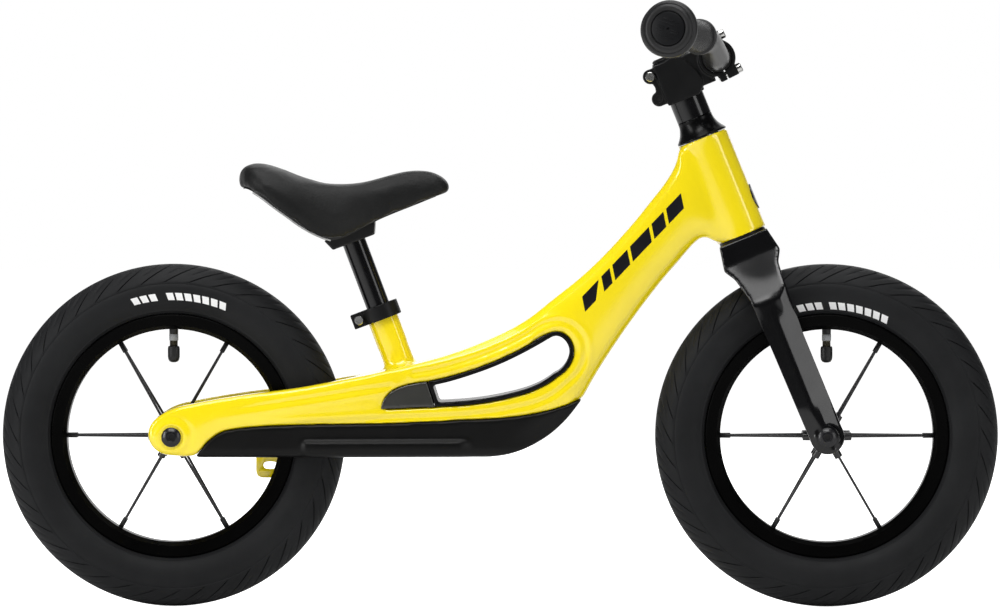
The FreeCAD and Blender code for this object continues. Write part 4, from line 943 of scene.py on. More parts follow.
    def wheel_gap(self) -> bmesh.types.BMesh:
        """The room between the stays, round-ended in front of the tyre."""
        wide, back, bend = self.gap_half, self.rear_x - 60, self.rear_x + 20
        nose = self.rear_x + self.gap_reach - self.gap_nose
        arc = [(nose + self.gap_nose * math.cos(a), self.gap_nose * math.sin(a))
               for a in np.linspace(math.pi / 2, -math.pi / 2, 9)]
        loop = corners([(back, wide), (bend, wide), arc[0]]) + smooth(arc[1:-1])
        loop += corners([arc[-1], (bend, -wide), (back, -wide)])
        return as_bmesh(drawn([loop], 2 * self.half_block), Matrix.Translation((0.0, 0.0, self.axle * MM)))

    def body(self) -> bmesh.types.BMesh:
        """The beam and stays as an even skin with the plan view's width and rounded sides."""
        bm = remeshed(upright_block([self.outline(), self.slot_line()], self.half_block), self.block_skin)
        places = points_of(bm)
        away = self.away(smooth(self.top_line() + self.under_line()), places)
        beam = step(places[:, 0], -90.0, 20.0)
        neck = step(places[:, 0], 150.0, 215.0)
        reach = 8.0 + 8.0 * beam
        drop = 2.5 + 6.0 * beam * (1 - 0.35 * neck)
        short = drop * (1 - np.clip(away / reach, 0.0, 1.0)) ** 2
        places[:, 1] *= (self.half_width(places[:, 0]) - short) / self.half_block
        put_points(bm, places)
        return carved(bm, [self.wheel_gap()])

    def press_creases(self, bm: bmesh.types.BMesh) -> None:
        """Press the two long creases and the rim round the slot into both sides."""
        places = points_of(bm)
        bm.normal_update()
        facing = np.array([v.normal.y for v in bm.verts])
        side = np.sign(places[:, 1])
        outer = step(facing * side, 0.45, 0.8)
        ring = self.away(self.ring_line(), places)
        stay = self.away(self.stay_line(), places)
        slot = self.away(self.slot_line() + self.slot_line()[:1], places)
        hub = np.hypot(places[:, 0] - self.rear_x, places[:, 2] - self.axle)
        ring_relief = ridge(ring, 0.0, -0.95, 1.9) + ridge(ring, 4.6, 0.45, 2.2)
        stay_relief = ridge(stay, 0.0, -0.8, 1.9) + ridge(stay, 4.6, 0.4, 2.4)
        relief = ring_relief * step(places[:, 0], -235.0, -150.0)
        relief += stay_relief * step(places[:, 0], -250.0, -180.0)
        relief *= step(slot, 0.0, 3.5)
        relief += ridge(hub, 12.5, 0.5, 2.0) + ridge(hub, 17.5, -0.5, 2.5)
        places[:, 1] += side * outer * relief
        put_points(bm, places)

    def even_sides(self, bm: bmesh.types.BMesh) -> None:
        """Level out the ripples that the skin's squares leave on the two broad sides.

        Args:
            bm: the skin.
        """
        bm.normal_update()
        sides = [v for v in bm.verts if abs(v.normal.y) > 0.85]
        for _ in range(self.side_passes):
            bmesh.ops.smooth_vert(bm, verts=sides, factor=0.5, use_axis_y=True)

    def keeps(self, point: Vector) -> bool:
        """Whether smoothing leaves a point alone, as at the head tube's two end faces."""
        local = self.bike.head.inverted() @ point / MM
        in_tube = math.hypot(local.x, local.y) < self.head_tube_radius + 1.0
        return in_tube and (local.z < 2.2 or local.z > self.head_tube_length - 2.2)

    def build(self) -> bpy.types.Object:
        """Make the shell.

        Returns:
            The frame's piece.
        """
        head, seat = self.bike.head, self.bike.seat
        tubes = [rod(self.head_tube_radius, 0.0, self.head_tube_length, head),
                 rod(self.seat_tube_radius, -self.seat_tube_depth, self.seat_tube_top, seat)]
        bm = remeshed(joined(self.body(), tubes), self.skin)
        relax(bm, self.all_passes, self.keeps)
        relax(bm, self.open_passes, lambda p: self.keeps(p) or self.near_slot(p))
        fillet = seat @ Vector((0.0, 0.0, self.fillet_middle * MM))
        relax(bm, self.fillet_passes, lambda p: (p - fillet).length > self.fillet_reach * MM)
        self.even_sides(bm)
        self.press_creases(bm)
        relax(bm, 1, self.keeps)
        axle = Matrix.Translation(self.bike.rear_axle) @ UPRIGHT
        recess, past = self.bolt_recess_face, 80.0
        bores = [rod(self.post_radius, -self.seat_tube_depth - 6.0, 30.0, seat, 48),
                 rod(self.headset_bore, -10.0, self.head_tube_length + 10.0, head, 64),
                 rod(self.bolt_radius, -past, past, axle, 32),
                 rod(self.bolt_recess_radius, recess, past, axle, 64),
                 rod(self.bolt_recess_radius, -past, -recess, axle, 64)]
        bm = carved(bm, bores)
        return self.bike.add("frame_shell", bm, YELLOW_GLOSS, "frame", "yellow_paint", ["frame"], 50.0)

    def near_slot(self, point: Vector) -> bool:
        """Whether a point, in metres, is close to the slot's edge, which stays crisper."""
        x, z = point.x / MM, point.z / MM - self.axle
        middle = 34.0 + max(x + 60.0, 0.0) * 0.28
        return -110.0 < x < 70.0 and abs(z - middle) < 24.0

    def build_lug(self) -> None:
        """The slotted lug under the left stay."""
        r = self.rear
        profile = corners([r(71.5, 12), r(71.5, -33.5)]) + smooth([r(73.2, -37.6)])
        profile += corners([r(77.3, -39.3), r(89, -39.3)]) + smooth([r(92.4, -37.8)])
        profile += corners([r(93.5, -34.5), r(93.5, 12)])
        ends = [(r(81.0, -28.2), math.pi / 2), (r(87.5, -28.2), -math.pi / 2)]
        hole = []
        for (x, z), start in ends:
            hole += smooth([(x + 3.0 * math.cos(start + a), z + 3.0 * math.sin(start + a))
                            for a in np.linspace(0.0, math.pi, 7)])
        bm = upright_block([profile, hole], self.lug_thickness / 2)
        middle = self.lug_inner + self.lug_thickness / 2
        bmesh.ops.translate(bm, verts=bm.verts, vec=(0.0, middle * MM, 0.0))
        rims = [e for e in bm.edges if e.calc_face_angle(0.0) > math.radians(40.0)]
        bmesh.ops.bevel(bm, geom=rims, offset=0.7 * MM, offset_type="OFFSET", segments=2, profile=0.5,
                        affect="EDGES", material=-1)
        self.bike.add("brake_lug", bm, YELLOW_GLOSS, "frame", "yellow_paint", [], 50.0)

    def build_graphic(self, shell: bpy.types.Object) -> None:
        """Slanted bars along both sides of the beam, laid on the shell.

        Args:
            shell: the finished frame piece.
        """
        tree = BVHTree.FromObject(shell, bpy.context.evaluated_depsgraph_get())
        # where each bar starts along the beam, and its length
        bars = ((0.0, 21.0), (24.5, 10.5), (38.5, 19.0), (61.0, 24.0), (88.5, 15.0), (107.0, 19.0))
        start, end = Vector((74.0, 0.0, 268.0)), Vector((157.0, 0.0, 355.0))
        along = (end - start).normalized()
        lean = Vector((0.20, 0.0, -0.98))
        for side, label in ((-1.0, "right"), (1.0, "left")):
            bm = bmesh.new()
            for offset, length in bars:
                grid = bmesh.ops.create_grid(bm, x_segments=14, y_segments=10, size=0.5)["verts"]
                for vert in grid:
                    share = vert.co.y + 0.5
                    taper = 1.0 - 0.35 * share * (offset < 1.0)
                    flat = start + along * (offset + (vert.co.x + 0.5) * length * taper)
                    flat += lean * (vert.co.y * self.decal_height)
                    outside = flat * MM + Vector((0.0, side * 2 * self.half_block * MM, 0.0))
                    hit = tree.ray_cast(outside, Vector((0.0, -side, 0.0)))[0]
                    vert.co = hit + Vector((0.0, side * self.decal_lift * MM, 0.0))
            bmesh.ops.recalc_face_normals(bm, faces=bm.faces)
            for face in bm.faces:
                if face.normal.y * side < 0:
                    face.normal_flip()
            self.bike.add(f"frame_graphic_{label}", bm, BLACK_GRAPHIC, "frame", "yellow_paint")


@dataclass
class BellyGuard:
    """The black guard under the frame, with its step for the feet."""

    bike: Bike
    shell: FrameShell
    skin: float = 1.4
    block_skin: float = 1.8
    step_top: float = -4.5
    step_out: float = 3.8
    step_rear: float = -173.5
    step_front: float = -22.0
    half_block: float = 54.0

    def outline(self) -> list[Knot]:
        """The guard's side-view outline."""
        r, m, belly = self.shell.rear, self.shell.mid, self.shell.belly_line()
        nose = [m(-8, -18.3), m(10, -15.3), m(35, -4.5), m(55, 11)]
        return (corners(belly[:1]) + smooth(belly[1:-1]) + corners([belly[-1], r(22.5, -18.0), nose[0]])
                + smooth(nose[1:]))

    def build(self) -> None:
        """Make the guard with its step and soft lower edge."""
        bm = remeshed(upright_block([self.outline()], self.half_block), self.block_skin)
        places = points_of(bm)
        x, z = places[:, 0], places[:, 2] - self.shell.axle
        ledge = step(x, self.step_rear - 2.0, self.step_rear + 4.0)
        ledge *= 1 - step(x, self.step_front - 14.0, self.step_front)
        ledge *= 1 - step(z, self.step_top - 0.6, self.step_top + 0.6)
        tuck = 5.0 * (1 - np.clip((z + 18.3) / 7.0, 0.0, 1.0)) ** 2
        nose_tuck = 7.0 * step(x, 0.0, 70.0) * (1 - step(z - 33.0 - (x - 73.0) * 0.39, -22.0, 0.0))
        half_width = self.shell.half_width(x) + self.step_out * ledge - tuck - nose_tuck
        places[:, 1] *= half_width / self.half_block
        put_points(bm, places)
        bm = remeshed(carved(bm, [self.shell.wheel_gap()]), self.skin)
        relax(bm, 3)
        self.bike.add("guard_shell", bm, SATIN_BLACK, "frame", "satin_plastic", ["belly_guard"], 60.0)


# ---------------------------------------------------------------- wheels
# where the casing's columns stand in one tread sector, as shares of it: crowded at its two grooves
COLUMN_PLACES = (0.0, 0.05, 0.25, 0.45, 0.5, 0.55, 0.75, 0.95)


@dataclass
class Wheel:
    """One wheel's casing with its tread, sidewall marks, and valve."""

    bike: Bike
    which: str
    axle: Vector
    mark_radius: float
    groups: tuple[tuple[float, int], ...]
    sectors: int = 40
    groove_depth: float = 1.25
    slant: float = 0.78
    tread_edge: float = 70.7
    wall: float = 2.6
    side_drop: float = 0.35
    mark_height: float = 6.4
    mark_lift: float = 0.25
    mark_pitch: float = 7.85

    def __post_init__(self) -> None:
        """Take the section from the CAD tyre."""
        low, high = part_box(f"{self.which}_tyre")
        self.radius = (high.z - low.z) / 2 / MM
        self.section = (high.y - low.y) / 2 / MM
        self.ring = self.radius - self.section

    def place(self, radius: float, angle: float, y: float) -> Vector:
        """A point by its radius and angle about the axle, in metres."""
        return self.axle + Vector((radius * math.cos(angle), y, radius * math.sin(angle))) * MM

    def casing(self) -> bmesh.types.BMesh:
        """The tyre's round section turned into a ring, with open slanted grooves in the tread."""
        bm = bmesh.new()
        edge = self.tread_edge
        half = [*np.linspace(4.0, edge - 5.0, 15), edge - 2.2, edge - 0.8, edge, edge + 0.8, edge + 2.2,
                *np.linspace(edge + 7.0, 124.0, 9), 127.0, 128.5, 130.0, 133.0, 137.0]
        points = []
        for turn in [-turn for turn in reversed(half)] + [0.0] + half:
            a = math.radians(turn)
            points.append(bm.verts.new(self.place(self.ring + self.section * math.cos(a), 0.0,
                                                  self.section * math.sin(a))))
        for one, other in zip(points, points[1:]):
            bm.edges.new((one, other))
        columns = self.sectors * len(COLUMN_PLACES)
        bmesh.ops.spin(bm, geom=bm.verts[:] + bm.edges[:], cent=self.axle, axis=(0, 1, 0), dvec=(0, 0, 0),
                       angle=2 * math.pi, steps=columns, use_merge=True)
        bmesh.ops.remove_doubles(bm, verts=bm.verts, dist=MERGE)
        self.press_tread(bm)
        bmesh.ops.recalc_face_normals(bm, faces=bm.faces)
        outward = sum(face.normal.dot(face.calc_center_median() - self.axle) for face in bm.faces)
        if outward < 0:
            bmesh.ops.reverse_faces(bm, faces=bm.faces)
        return bm

    def press_tread(self, bm: bmesh.types.BMesh) -> None:
        """Crowd the columns together at the grooves, slant them and press them in."""
        places = points_of(bm) - np.array(self.axle) / MM
        radius = np.hypot(places[:, 0], places[:, 2])
        angle = np.arctan2(places[:, 2], places[:, 0])
        turn = np.degrees(np.arctan2(places[:, 1], radius - self.ring))
        out = np.hypot(places[:, 1], radius - self.ring)
        sector = 2 * math.pi / self.sectors
        count = angle / sector
        whole = np.floor(count + 0.03)
        columns = len(COLUMN_PLACES)
        column = np.round((count - whole) * columns).astype(int) % columns
        crowded = np.array(COLUMN_PLACES)[column]
        tilt = np.abs(turn)
        edge = self.tread_edge
        inward = self.section * (1.0 - np.cos(np.radians(np.clip(tilt, 0.0, edge))))
        angle = (whole + crowded) * sector + math.radians(self.slant) * inward
        deep = step(tilt, 8.0, 16.0) * (0.55 + 0.45 * step(tilt, 30.0, 40.0))
        deep *= 1 - step(tilt, edge - 6.0, edge - 2.0)
        short = step(tilt, 14.0, 22.0) * (1 - step(tilt, 44.0, 52.0))
        sink = self.groove_depth * (deep * (column == 0) + 0.4 * short * (column == 4))
        sink += ridge(tilt, edge, 0.55, 0.9)
        sink += self.side_drop * step(tilt, edge - 0.5, edge + 1.5)
        out += ridge(tilt, 128.5, 0.45, 1.2) - sink
        tube = np.radians(turn)
        radius = self.ring + out * np.cos(tube)
        places[:, 0] = radius * np.cos(angle)
        places[:, 1] = out * np.sin(tube)
        places[:, 2] = radius * np.sin(angle)
        put_points(bm, places + np.array(self.axle) / MM)

    def build_casing(self) -> None:
        """The tyre with its open inside given a wall."""
        bm = self.casing()
        name = f"{self.which}_tyre"
        obj = self.bike.add(f"{name}_casing", bm, TYRE_RUBBER, f"{self.which}_wheel", "tyre_rubber",
                            [name], 35.0)
        wall = obj.modifiers.new("wall", "SOLIDIFY")
        wall.thickness = self.wall * MM
        wall.offset = -1.0

    def build_marks(self) -> None:
        """Plain slanted dashes printed on both sidewalls."""
        bm = bmesh.new()
        for side in (-1.0, 1.0):
            for start, count in self.groups:
                for index in range(count):
                    self.add_dash(bm, side, start - index * math.degrees(self.mark_pitch / self.mark_radius))
        self.bike.add(f"{self.which}_tyre_marks", bm, WHITE_PRINT, f"{self.which}_wheel", "tyre_rubber")

    def add_dash(self, bm: bmesh.types.BMesh, side: float, start: float) -> None:
        """One dash on a sidewall.

        Args:
            bm: receives the dash.
            side: -1 for the right side, 1 for the left.
            start: the angle of its leading end, in degrees, from the front as seen from the right.
        """
        pitch = math.degrees(self.mark_pitch / self.mark_radius)
        width = pitch * 0.76
        for vert in bmesh.ops.create_grid(bm, x_segments=4, y_segments=4, size=0.5)["verts"]:
            radius = self.mark_radius + vert.co.y * self.mark_height
            shift = (vert.co.x + 0.5) * width - vert.co.y * 0.9
            turn = start - shift
            angle = math.radians(turn if side < 0 else 180.0 - turn)
            y = math.sqrt(self.section ** 2 - (radius - self.ring) ** 2) - self.side_drop + self.mark_lift
            vert.co = self.place(radius, angle, side * y)

    def build_valve(self) -> None:
        """The valve under the rim: rubber foot, bright band, threaded stem and ribbed cap."""
        hub = Matrix.Translation(self.axle)
        body = f"{self.which}_wheel"
        foot = [(0, 98), (4.3, 98), (4.3, 96), (4.0, 95), (3.95, 89.4), (3.4, 89.0), (0, 89.0)]
        band = [(0, 89.2), (3.9, 89.2), (4.1, 88.8), (4.1, 84.0), (3.8, 83.6), (0, 83.6)]
        stem = [(0, 84.0), (3.75, 83.8)]
        for k in range(5):
            stem += [(3.75, 83.3 - k * 1.0), (3.45, 82.8 - k * 1.0)]
        stem += [(4.0, 78.4), (0, 78.4)]
        cap = [(0, 78.7), (4.6, 78.7), (5.1, 77.9), (5.3, 76.0), (5.3, 69.5), (4.9, 66.9), (3.8, 65.1),
               (1.9, 64.3), (0, 64.2)]
        self.bike.add(f"{self.which}_valve_foot", turned(foot, hub, 40), CAP_PLASTIC, body, "valve_brass",
                      [f"{self.which}_valve"])
        self.bike.add(f"{self.which}_valve_band", turned(band, hub, 40), VALVE_BAND, body, "valve_brass")
        self.bike.add(f"{self.which}_valve_thread", turned(stem, hub, 40), VALVE_STEM, body, "valve_brass")
        bm = turned(cap, hub, 48)
        for vert in bm.verts:
            local = (vert.co - self.axle) / MM
            angle = math.atan2(local.y, local.x)
            inset = 1.0 - 0.06 * (math.cos(16 * angle) < 0) * (67.5 < local.z < 77.5)
            vert.co = self.axle + Vector((local.x * inset, local.y * inset, local.z)) * MM
        self.bike.add(f"{self.which}_valve_top", bm, CAP_PLASTIC, body, "cap_plastic",
                      [f"{self.which}_valve_cap"])

    def build(self) -> None:
        """Make the wheel's pieces."""
        self.build_casing()
        self.build_marks()
        self.build_valve()


# ---------------------------------------------------------------- steering
@dataclass
class Front:
    """The fork, stem and headset, rounded where a hand would feel an edge."""

    bike: Bike
    leg_top: float = -62.0
    leg_end: float = -192.2
    leg_outer: float = 50.0
    leg_taper: float = 3.0
    ridge: float = 0.5
    front_slope: float = 0.46
    rear_slope: float = 0.02
    cheek: float = 17.5
    cheek_wall: float = 5.0

    def build_fork(self) -> None:
        """The fork with one ridge down each leg: a broad bevel in front and a flat side behind it."""
        bm = remeshed(self.bike.copy_of("fork"), 1.2)
        to_head = self.bike.head.inverted()
        bmesh.ops.transform(bm, matrix=to_head, verts=bm.verts)
        places = points_of(bm)
        forward, side, up = places[:, 0], np.abs(places[:, 1]), places[:, 2]
        share = np.clip((up - self.leg_end) / (self.leg_top - self.leg_end), 0, 1)
        outer = self.leg_outer - self.leg_taper * share
        bevel = self.front_slope * np.maximum(forward - self.ridge, 0.0)
        bevel += self.rear_slope * np.maximum(self.ridge - forward, 0.0)
        near = step(side, outer - 9.0 - bevel * 0.3, outer - 7.0 - bevel * 0.3)
        near *= 1 - step(up, self.leg_top - 24.0, self.leg_top + 6.0)
        near *= step(up, self.leg_end + 10.0, self.leg_end + 34.0)
        target = outer - bevel
        places[:, 1] = np.sign(places[:, 1]) * (side + (target - side) * near)
        put_points(bm, places)
        relax(bm, 4)
        bmesh.ops.transform(bm, matrix=self.bike.head, verts=bm.verts)
        self.bike.add("fork_shell", bm, BLACK_GLOSS, "steering", "black_paint", ["fork"])

    def build_stem(self) -> None:
        """The stem with flat cheeks over its steerer clamp."""
        outline = corners([(-17.2, 129.8), (12.0, 129.8)]) + smooth([(17.5, 136.0), (18.2, 146.0)])
        outline += corners([(8.5, 166.8), (-17.2, 167.2)])
        bm = self.bike.copy_of("stem_body")
        for side in (-1.0, 1.0):
            plate = upright_block([outline], self.cheek_wall / 2)
            middle = side * (self.cheek - self.cheek_wall / 2)
            place = self.bike.head @ Matrix.Translation((0.0, middle * MM, 0.0))
            bmesh.ops.transform(plate, matrix=place, verts=plate.verts)
            bm = joined(bm, [plate])
        bm = remeshed(bm, 0.7)
        relax(bm, 3)
        self.bike.add("stem_shell", bm, BLACK_ALLOY, "steering", "black_alloy", ["stem_body"])

    def build_pinch_bolts(self) -> None:
        """The steerer clamp's two bolts: a bright upper one and a dark lower one."""
        low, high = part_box("stem_clamp_bolts")
        middle = (low.z + high.z) / 2
        for label, below, finish in (("lower", True, DARK_STEEL), ("upper", False, BRIGHT_STEEL)):
            bm = self.bike.copy_of("stem_clamp_bolts")
            others = [v for v in bm.verts if (v.co.z < middle) != below]
            bmesh.ops.delete(bm, geom=others, context="VERTS")
            self.bike.add(f"pinch_bolt_{label}", bm, finish, "steering", "bright_steel",
                          ["stem_clamp_bolts"], 30.0)

    def build(self) -> None:
        """Stand softened copies in place of the CAD pieces."""
        soften = self.bike.softened
        self.build_fork()
        self.build_stem()
        self.build_pinch_bolts()
        soften("stem_faceplate", "faceplate_shell", 0.7, 3, BLACK_ALLOY, "steering", "black_alloy")
        soften("headset_cover", "headset_cone", 0.8, 2, TRIM_BLACK, "steering", "gloss_plastic")
        soften("top_cap", "top_cap_shell", 0.5, 2, BLACK_ALLOY, "steering", "black_alloy")


@dataclass
class AxleBolt:
    """A domed black axle bolt with a socket for a hexagon key."""

    bike: Bike
    axle: Vector
    side: int
    body: str
    node: str
    name: str
    radius: float = 8.6
    height: float = 3.4
    socket: float = 2.9
    shank: float = 2.9

    def build(self) -> None:
        """Turn the head and cut its socket."""
        spin = Matrix.Rotation(math.radians(-90.0 * self.side), 4, "X")
        frame = Matrix.Translation(self.axle) @ spin
        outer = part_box(self.node)[1].y / MM
        low = outer - BOLT_HEAD_HEIGHT
        r, top = self.radius, low + self.height
        profile = [(0, low - 20), (self.shank, low - 20), (self.shank, low), (r - 0.3, low), (r, low + 0.4),
                   (r, low + 1.0), (r - 0.5, low + 1.5), (r - 1.8, low + 2.3), (r - 3.2, top - 0.4),
                   (self.socket + 1.6, top), (self.socket + 1.2, top), (self.socket + 0.6, top - 0.6),
                   (0, top - 0.6)]
        key = rod(self.socket, top - 3.0, top + 1.0, frame, 6)
        bm = carved(turned(profile, frame, 72), [key])
        self.bike.add(self.name, bm, AXLE_BLACK, self.body, "dark_steel", [self.node], 28.0)


@dataclass
class Grip:
    """One ribbed grip with its end flange and plug."""

    bike: Bike
    side: int
    rise_end: tuple[float, float, float] = (-9.0, 88.0, 16.5)
    bar_end: tuple[float, float, float] = (-43.6, 204.0, 25.3)
    length: float = 98.0
    radius: float = 14.0
    flange: float = 25.0
    plug: float = 15.1
    rib_pitch: float = 1.6
    rib_height: float = 0.35

    def frame(self) -> Matrix:
        """The local frame at the bar's end, with +Z outwards along it."""
        end, rise = Vector(self.bar_end), Vector(self.rise_end)
        outward = end - rise
        for vector in (end, outward):
            vector.y *= self.side
        matrix = outward.to_track_quat("Z", "X").to_matrix().to_4x4()
        matrix.translation = self.bike.bar_middle + end * MM
        return matrix

    def profile(self) -> list[tuple[float, float]]:
        """The sleeve's outline, from its inner collar to its hollow end face."""
        root = -self.length
        line = [(11.2, root), (15.0, root), (15.7, root + 0.7), (15.7, root + 3.4), (15.0, root + 4.2),
                (self.radius, root + 4.8)]
        ribs = int((self.length - 4.8 - 17.0) / self.rib_pitch)
        for k in range(ribs):
            low = root + 5.2 + k * self.rib_pitch
            line += [(self.radius, low), (self.radius, low + self.rib_pitch * 0.5),
                     (self.radius - self.rib_height, low + self.rib_pitch * 0.62),
                     (self.radius - self.rib_height, low + self.rib_pitch * 0.88)]
        f = self.flange
        return line + [(14.0, -15.5), (14.6, -12.4), (17.0, -9.8), (21.0, -8.2), (f - 1.6, -7.0),
                       (f - 0.4, -6.0), (f, -4.8), (f, -2.6), (f - 0.4, -1.0), (f - 1.4, 0.2),
                       (f - 2.6, 0.8), (f - 3.4, 0.6),
                       (f - 4.0, 1.3), (f - 4.6, 2.3), (f - 5.6, 2.9), (f - 7.2, 3.0), (f - 8.6, 2.8),
                       (f - 9.4, 2.0), (f - 9.8, 0.9), (0.0, 0.9)]

    def build_plug(self, frame: Matrix) -> None:
        """The disc in the grip's end, with plain raised lines and a small hole.

        Args:
            frame: the grip's local frame.
        """
        disc = [(1.2, 1.0), (1.2, 1.9), (1.5, 2.1), (self.plug - 1.4, 2.1), (self.plug - 0.6, 1.8),
                (self.plug, 1.0)]
        bm = turned(disc, frame, 72)
        turn = frame @ Matrix.Rotation(math.radians(self.line_turn()), 4, "Z")
        for offset in (-7.6, -4.4, 4.4, 7.6):
            half = math.sqrt(10.6 ** 2 - offset ** 2)
            self.add_line(bm, turn, offset, -half, half)
        for start, end in ((-10.4, -3.4), (3.4, 10.4)):
            self.add_line(bm, turn, 0.0, start, end)
            self.add_line(bm, turn, 1.9, start, end)
        self.bike.add(f"grip_plug_{self.label()}", bm, GRIP_PLUG, "handlebar", "grip_cap",
                      ["grip_end_caps"], 30.0)

    def add_line(
        self, bm: bmesh.types.BMesh, frame: Matrix, offset: float, start: float, end: float
    ) -> None:
        """A raised line on the plug.

        Args:
            bm: receives the line.
            frame: the plug's frame, turned so that X runs along the lines.
            offset: how far the line is from the middle.
            start: where it begins along X.
            end: where it ends.
        """
        place = Matrix.Translation(Vector(((start + end) / 2, offset, 2.1)) * MM)
        size = Matrix.Diagonal(Vector(((end - start) * MM, 0.9 * MM, 0.8 * MM, 1.0)))
        made = bmesh.ops.create_cube(bm, size=1.0, matrix=frame @ place @ size)["verts"]
        edges = list({e for v in made for e in v.link_edges})
        bmesh.ops.bevel(bm, geom=edges, offset=0.18 * MM, offset_type="OFFSET", segments=2, profile=0.5,
                        affect="EDGES", material=-1)

    def line_turn(self) -> float:
        """How far the plug's lines are turned, in degrees."""
        return 70.0 if self.side < 0 else 110.0

    def label(self) -> str:
        """The side's name, left or right."""
        return "left" if self.side > 0 else "right"

    def build(self) -> None:
        """Make the sleeve and the plug."""
        frame = self.frame()
        name = f"grip_{self.label()}"
        self.bike.add(f"{name}_sleeve", turned(self.profile(), frame, 128), GRIP_RUBBER, "handlebar",
                      "grip_rubber", [name], 32.0)
        self.build_plug(frame)


# ---------------------------------------------------------------- saddle and seatpost
@dataclass
class Saddle:
    """The padded saddle on its post, with the clamp and bracket."""

    bike: Bike
    skin: float = 4.0
    half_width: float = 52.0
    bracket_top: float = 84.5
    welt: float = 0.8
    swell: float = 1.8
    pressure: float = 3.0
    frames: int = 20
    nose_length: float = 45.0
    nose_stretch: float = 2.4

    def swollen(self, bm: bmesh.types.BMesh) -> bmesh.types.BMesh:
        """Let the cover's stuffing push it out a little, by a cloth simulation.

        Args:
            bm: the cover's even skin; it is freed.

        Returns:
            The swollen skin.
        """
        before = points_of(bm)
        obj = temporary(as_mesh(bm))
        cloth = obj.modifiers.new("stuffing", "CLOTH")
        cloth.settings.quality = 6
        cloth.settings.mass = 0.4
        cloth.settings.tension_stiffness = 30.0
        cloth.settings.compression_stiffness = 30.0
        cloth.settings.bending_stiffness = 6.0
        cloth.settings.use_pressure = True
        cloth.settings.uniform_pressure_force = self.pressure
        cloth.settings.effector_weights.gravity = 0.0
        scene = bpy.context.scene
        for frame in range(1, self.frames + 1):
            scene.frame_set(frame)
        mesh = detached(obj)
        scene.frame_set(1)
        out = bmesh.new()
        out.from_mesh(mesh)
        bpy.data.meshes.remove(mesh)
        moved = points_of(out) - before
        far = np.maximum(np.linalg.norm(moved, axis=1), 1e-6)
        put_points(out, before + moved * (np.minimum(far, self.swell) / far)[:, None])
        return out

    def build_cover(self) -> None:
        """The padded cover in grained vinyl."""
        bm = remeshed(self.bike.copy_of("saddle_padding"), self.skin)
        relax(bm, 2)
        places = points_of(bm)
        nose = places[:, 0].max()
        places[:, 0] += self.nose_stretch * step(places[:, 0], nose - self.nose_length, nose)
        put_points(bm, places)
        bm = self.swollen(bm)
        cover = self.bike.add("saddle_cover", bm, VINYL, "saddle", "saddle_vinyl", ["saddle_padding"], 180.0)
        fine = cover.modifiers.new("fine", "SUBSURF")
        fine.levels = 2
        fine.render_levels = 2

    def build_welt(self) -> None:
        """The pale edge of the base that shows along the cover's lower rear edge."""
        anchor = self.bike.seat @ Vector((0.0, 0.0, self.bracket_top * MM))
        edge = [(-16.0, -7.6, 0.79), (-24.0, -5.0, 0.85), (-42.0, 4.5, 0.955), (-54.0, 13.2, 0.985),
                (-66.0, 21.8, 0.995), (-76.0, 29.4, 0.96), (-84.0, 34.6, 0.89)]
        right = [(x, -self.half_width * share, z) for x, z, share in edge]
        for label, turn in (("right", 1.0), ("left", -1.0)):
            curve = bpy.data.curves.new("welt", "CURVE")
            curve.dimensions = "3D"
            curve.bevel_depth = self.welt * MM
            curve.bevel_resolution = 3
            curve.use_fill_caps = True
            curve.resolution_u = 10
            spline = curve.splines.new("BEZIER")
            spline.bezier_points.add(len(right) - 1)
            for (x, y, z), point in zip(right, spline.bezier_points):
                point.co = anchor + Vector((x, y * turn, z)) * MM
                point.handle_left_type = "AUTO"
                point.handle_right_type = "AUTO"
            bm = as_bmesh(detached(temporary(curve)))
            self.bike.add(f"saddle_edge_{label}", bm, WELT_GREY, "saddle", "saddle_plastic")

    def build(self) -> None:
        """Make the cover and the softened hardware under it."""
        self.build_cover()
        self.build_welt()
        soften = self.bike.softened
        soften("saddle_bracket", "bracket_shell", 0.8, 3, SADDLE_PLASTIC, "saddle", "saddle_plastic")
        soften("seat_clamp_collar", "clamp_shell", 0.6, 2, BLACK_ALLOY, "frame", "black_alloy")


# ---------------------------------------------------------------- studio
@dataclass(frozen=True)
class Lamp:
    """One rectangular soft light: its place in metres, its width and height, and its watts."""

    name: str
    place: tuple[float, float, float]
    size: tuple[float, float]
    power: float


LAMPS = (
    Lamp("overhead", (0.0, 0.2, 2.7), (2.4, 2.0), 42.0),
    Lamp("front_top", (-0.3, -1.9, 3.0), (2.4, 0.9), 62.0),
    Lamp("left_strip", (-2.6, -1.5, 0.9), (0.5, 2.0), 38.0),
    Lamp("right_strip", (2.4, -1.8, 0.8), (0.9, 2.0), 18.0),
    Lamp("back", (0.4, 2.6, 1.6), (2.4, 1.6), 20.0),
    Lamp("backdrop", (0.0, 3.2, 0.5), (6.0, 1.0), 17.0),
)


